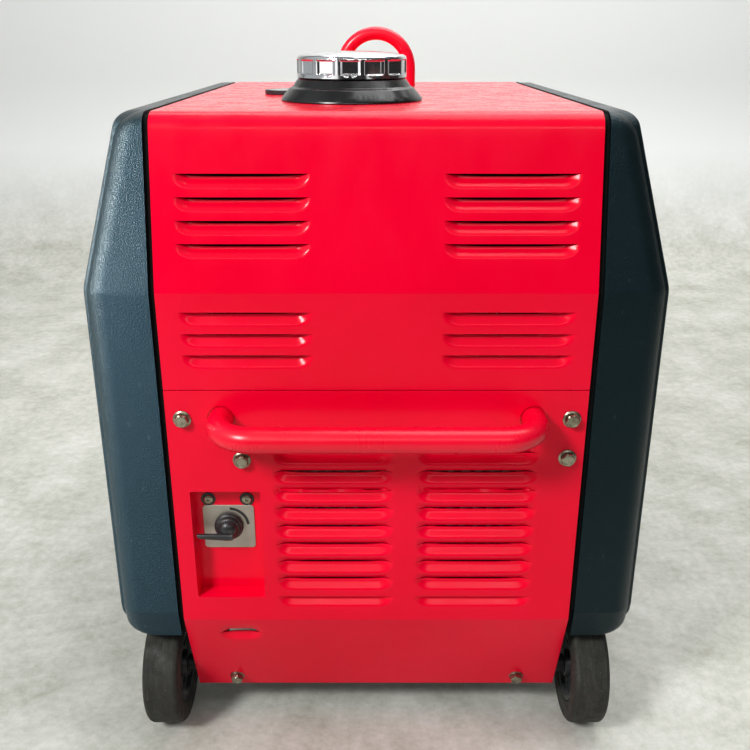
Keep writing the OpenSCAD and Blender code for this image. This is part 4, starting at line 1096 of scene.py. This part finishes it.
# the CAD's shapes that only get rounded edges, with the rounding's width
ROUNDED = {
    "service_lid": 0.8, "edge_seals": 0.4, "cock_label_plate": 0.25, "fuel_cap_insert": 0.5,
    "fuel_gauge": 0.5, "lid_latch": 0.6, "front_handle": 0, "rear_handle": 0, "lifting_hook": 0,
    "filler_boot": 0.8, "front_axle": 0.4, "left_tyre": 0.3, "right_tyre": 0.3, "left_hub": 0.6,
    "right_hub": 0.6, "caster_plates": 0.4, "left_caster_fork": 0.4, "right_caster_fork": 0.4,
    "left_caster_wheel": 0.4, "right_caster_wheel": 0.4, "left_caster_brake": 0.6,
    "right_caster_brake": 0.6, "control_panel": 0.6, "engine_switch": 0.6, "choke_knob": 0.6,
    "eco_switch": 0.4, "ac_breaker": 0.4, "ac_outlets": 0.5, "upper_outlet_cover": 0.5,
    "lower_outlet_cover": 0.5, "pilot_lamps": 0.3, "earth_terminal": 0.3, "recoil_pocket": 0.6,
    "recoil_grip": 0.4,
}
rounded = {name: from_cad(name, width) for name, width in ROUNDED.items()}
rounded["edge_seals"].data.materials[0] = SEAL_FOAM
for name in PAINTED_BARS:
    rounded[name].data.materials[0] = HANDLE_PAINT
for name, o in NODES.items():
    if name not in rounded and name not in OWN_SHAPES:
        o.data.materials.clear()
        o.data.materials.append(FINISH[SLOT[name]])

# ---------- stage and light, in metres ----------

FLOOR_HALF_W = 4.0
SWEEP_Y, SWEEP_R = 1.3, 0.5  # the floor curves up into the backdrop


def stage_floor():
    section = [(-4.0, 0.0), (SWEEP_Y, 0.0)]
    for i in range(1, 13):
        a = math.pi / 2 * i / 12
        section.append((SWEEP_Y + SWEEP_R * math.sin(a), SWEEP_R - SWEEP_R * math.cos(a)))
    section.append((SWEEP_Y + SWEEP_R, 4.0))
    bm = bmesh.new()
    rows = [[bm.verts.new((x, y, z)) for x in (-FLOOR_HALF_W, FLOOR_HALF_W)] for y, z in section]
    for a, b in zip(rows, rows[1:]):
        bm.faces.new((a[0], a[1], b[1], b[0]))
    mesh = to_mesh(bm, "floor", 60)
    o = bpy.data.objects.new("floor", mesh)
    scene.collection.objects.link(o)
    f = Finish("floor", Specular_IOR_Level=0.2)
    cloudy = f.calc("ADD", f.times(f.noise(9, 8, 0.7), 0.55), f.times(f.noise(75, 9, 0.75), 0.45))
    concrete = f.ramp(cloudy, (0.33, 0.33, 0.28), (0.54, 0.54, 0.50), (0.38, 0.62))
    backdrop = f.rise(f.part(f.where, "Z"), 0.05, 0.3)
    color = f.mix(backdrop, concrete, (0.66, 0.67, 0.66))
    texture = f.bump(f.noise(120, 4), 0.1, 0.0006)
    mesh.materials.append(f.done(color, f.ramp(f.noise(30), 0.6, 0.8), texture))
    return o


floor = stage_floor()


def light(name, place, aim, size, power, color=(1, 1, 1), only=()):
    """An area light; with only, it's a card that shines on those objects alone."""
    data = bpy.data.lights.new(name, "AREA")
    data.shape = "RECTANGLE"
    data.size, data.size_y = size
    data.energy = power
    data.color = color
    o = bpy.data.objects.new(name, data)
    o.location = place
    o.rotation_euler = (Vector(aim) - Vector(place)).to_track_quat("-Z", "Y").to_euler()
    scene.collection.objects.link(o)
    if only:
        lit = bpy.data.collections.new(name + "_lit")
        for piece in only:
            lit.objects.link(piece)
        o.light_linking.receiver_collection = lit


CAP_AIM = (-0.02, -0.1, 0.58)
light("key", (-1.2, -1.5, 1.65), (0, -0.1, 0.3), (0.45, 0.45), 45)
light("front_strip", (0.3, -2.2, 1.6), (0, 0, 0.3), (1.8, 0.12), 6)
light("left_card", (-0.66, -1.2, 0.42), (-0.2, -0.25, 0.35), (0.5, 1.0), 25, (0.68, 0.8, 1.0),
      only=[left_cover, rounded["service_lid"]])
light("left_streak", (-1.1, -0.65, 0.68), (-0.2, -0.25, 0.5), (0.10, 0.5), 62, (1.0, 0.80, 0.74),
      only=[left_cover])
light("floor_card", (1.5, -0.7, 1.3), (0.7, -0.3, 0), (0.6, 0.6), 9, only=[floor])
light("cap_left", (-1.0, -1.1, 0.62), CAP_AIM, (0.9, 0.5), 1.6, only=[fuel_cap])
light("cap_right", (0.9, -1.3, 0.62), CAP_AIM, (0.3, 0.5), 0.35, only=[fuel_cap])
light("top", (0.55, 0.2, 2.3), (0.1, 0, 0.5), (1.5, 1.5), 30)
light("back", (0.4, 1.2, 2.2), (0.1, 2.0, 0.5), (2.4, 1.0), 34)

# the world is brighter above and on the left
world = bpy.data.worlds.new("world")
world.use_nodes = True
sky = Graph(world.node_tree)
way = sky.node("ShaderNodeTexCoord").outputs["Generated"]
above = sky.ramp(sky.part(way, "Z"), 0.03, 0.42, (0.25, 0.95))
left = sky.ramp(sky.part(way, "X"), 0.45, 0.0, (-0.85, -0.35))
background = world.node_tree.nodes["Background"]
sky.feed(background.inputs["Color"], (0.93, 0.97, 1.0, 1))
sky.feed(background.inputs["Strength"], sky.calc("ADD", above, left))
scene.world = world
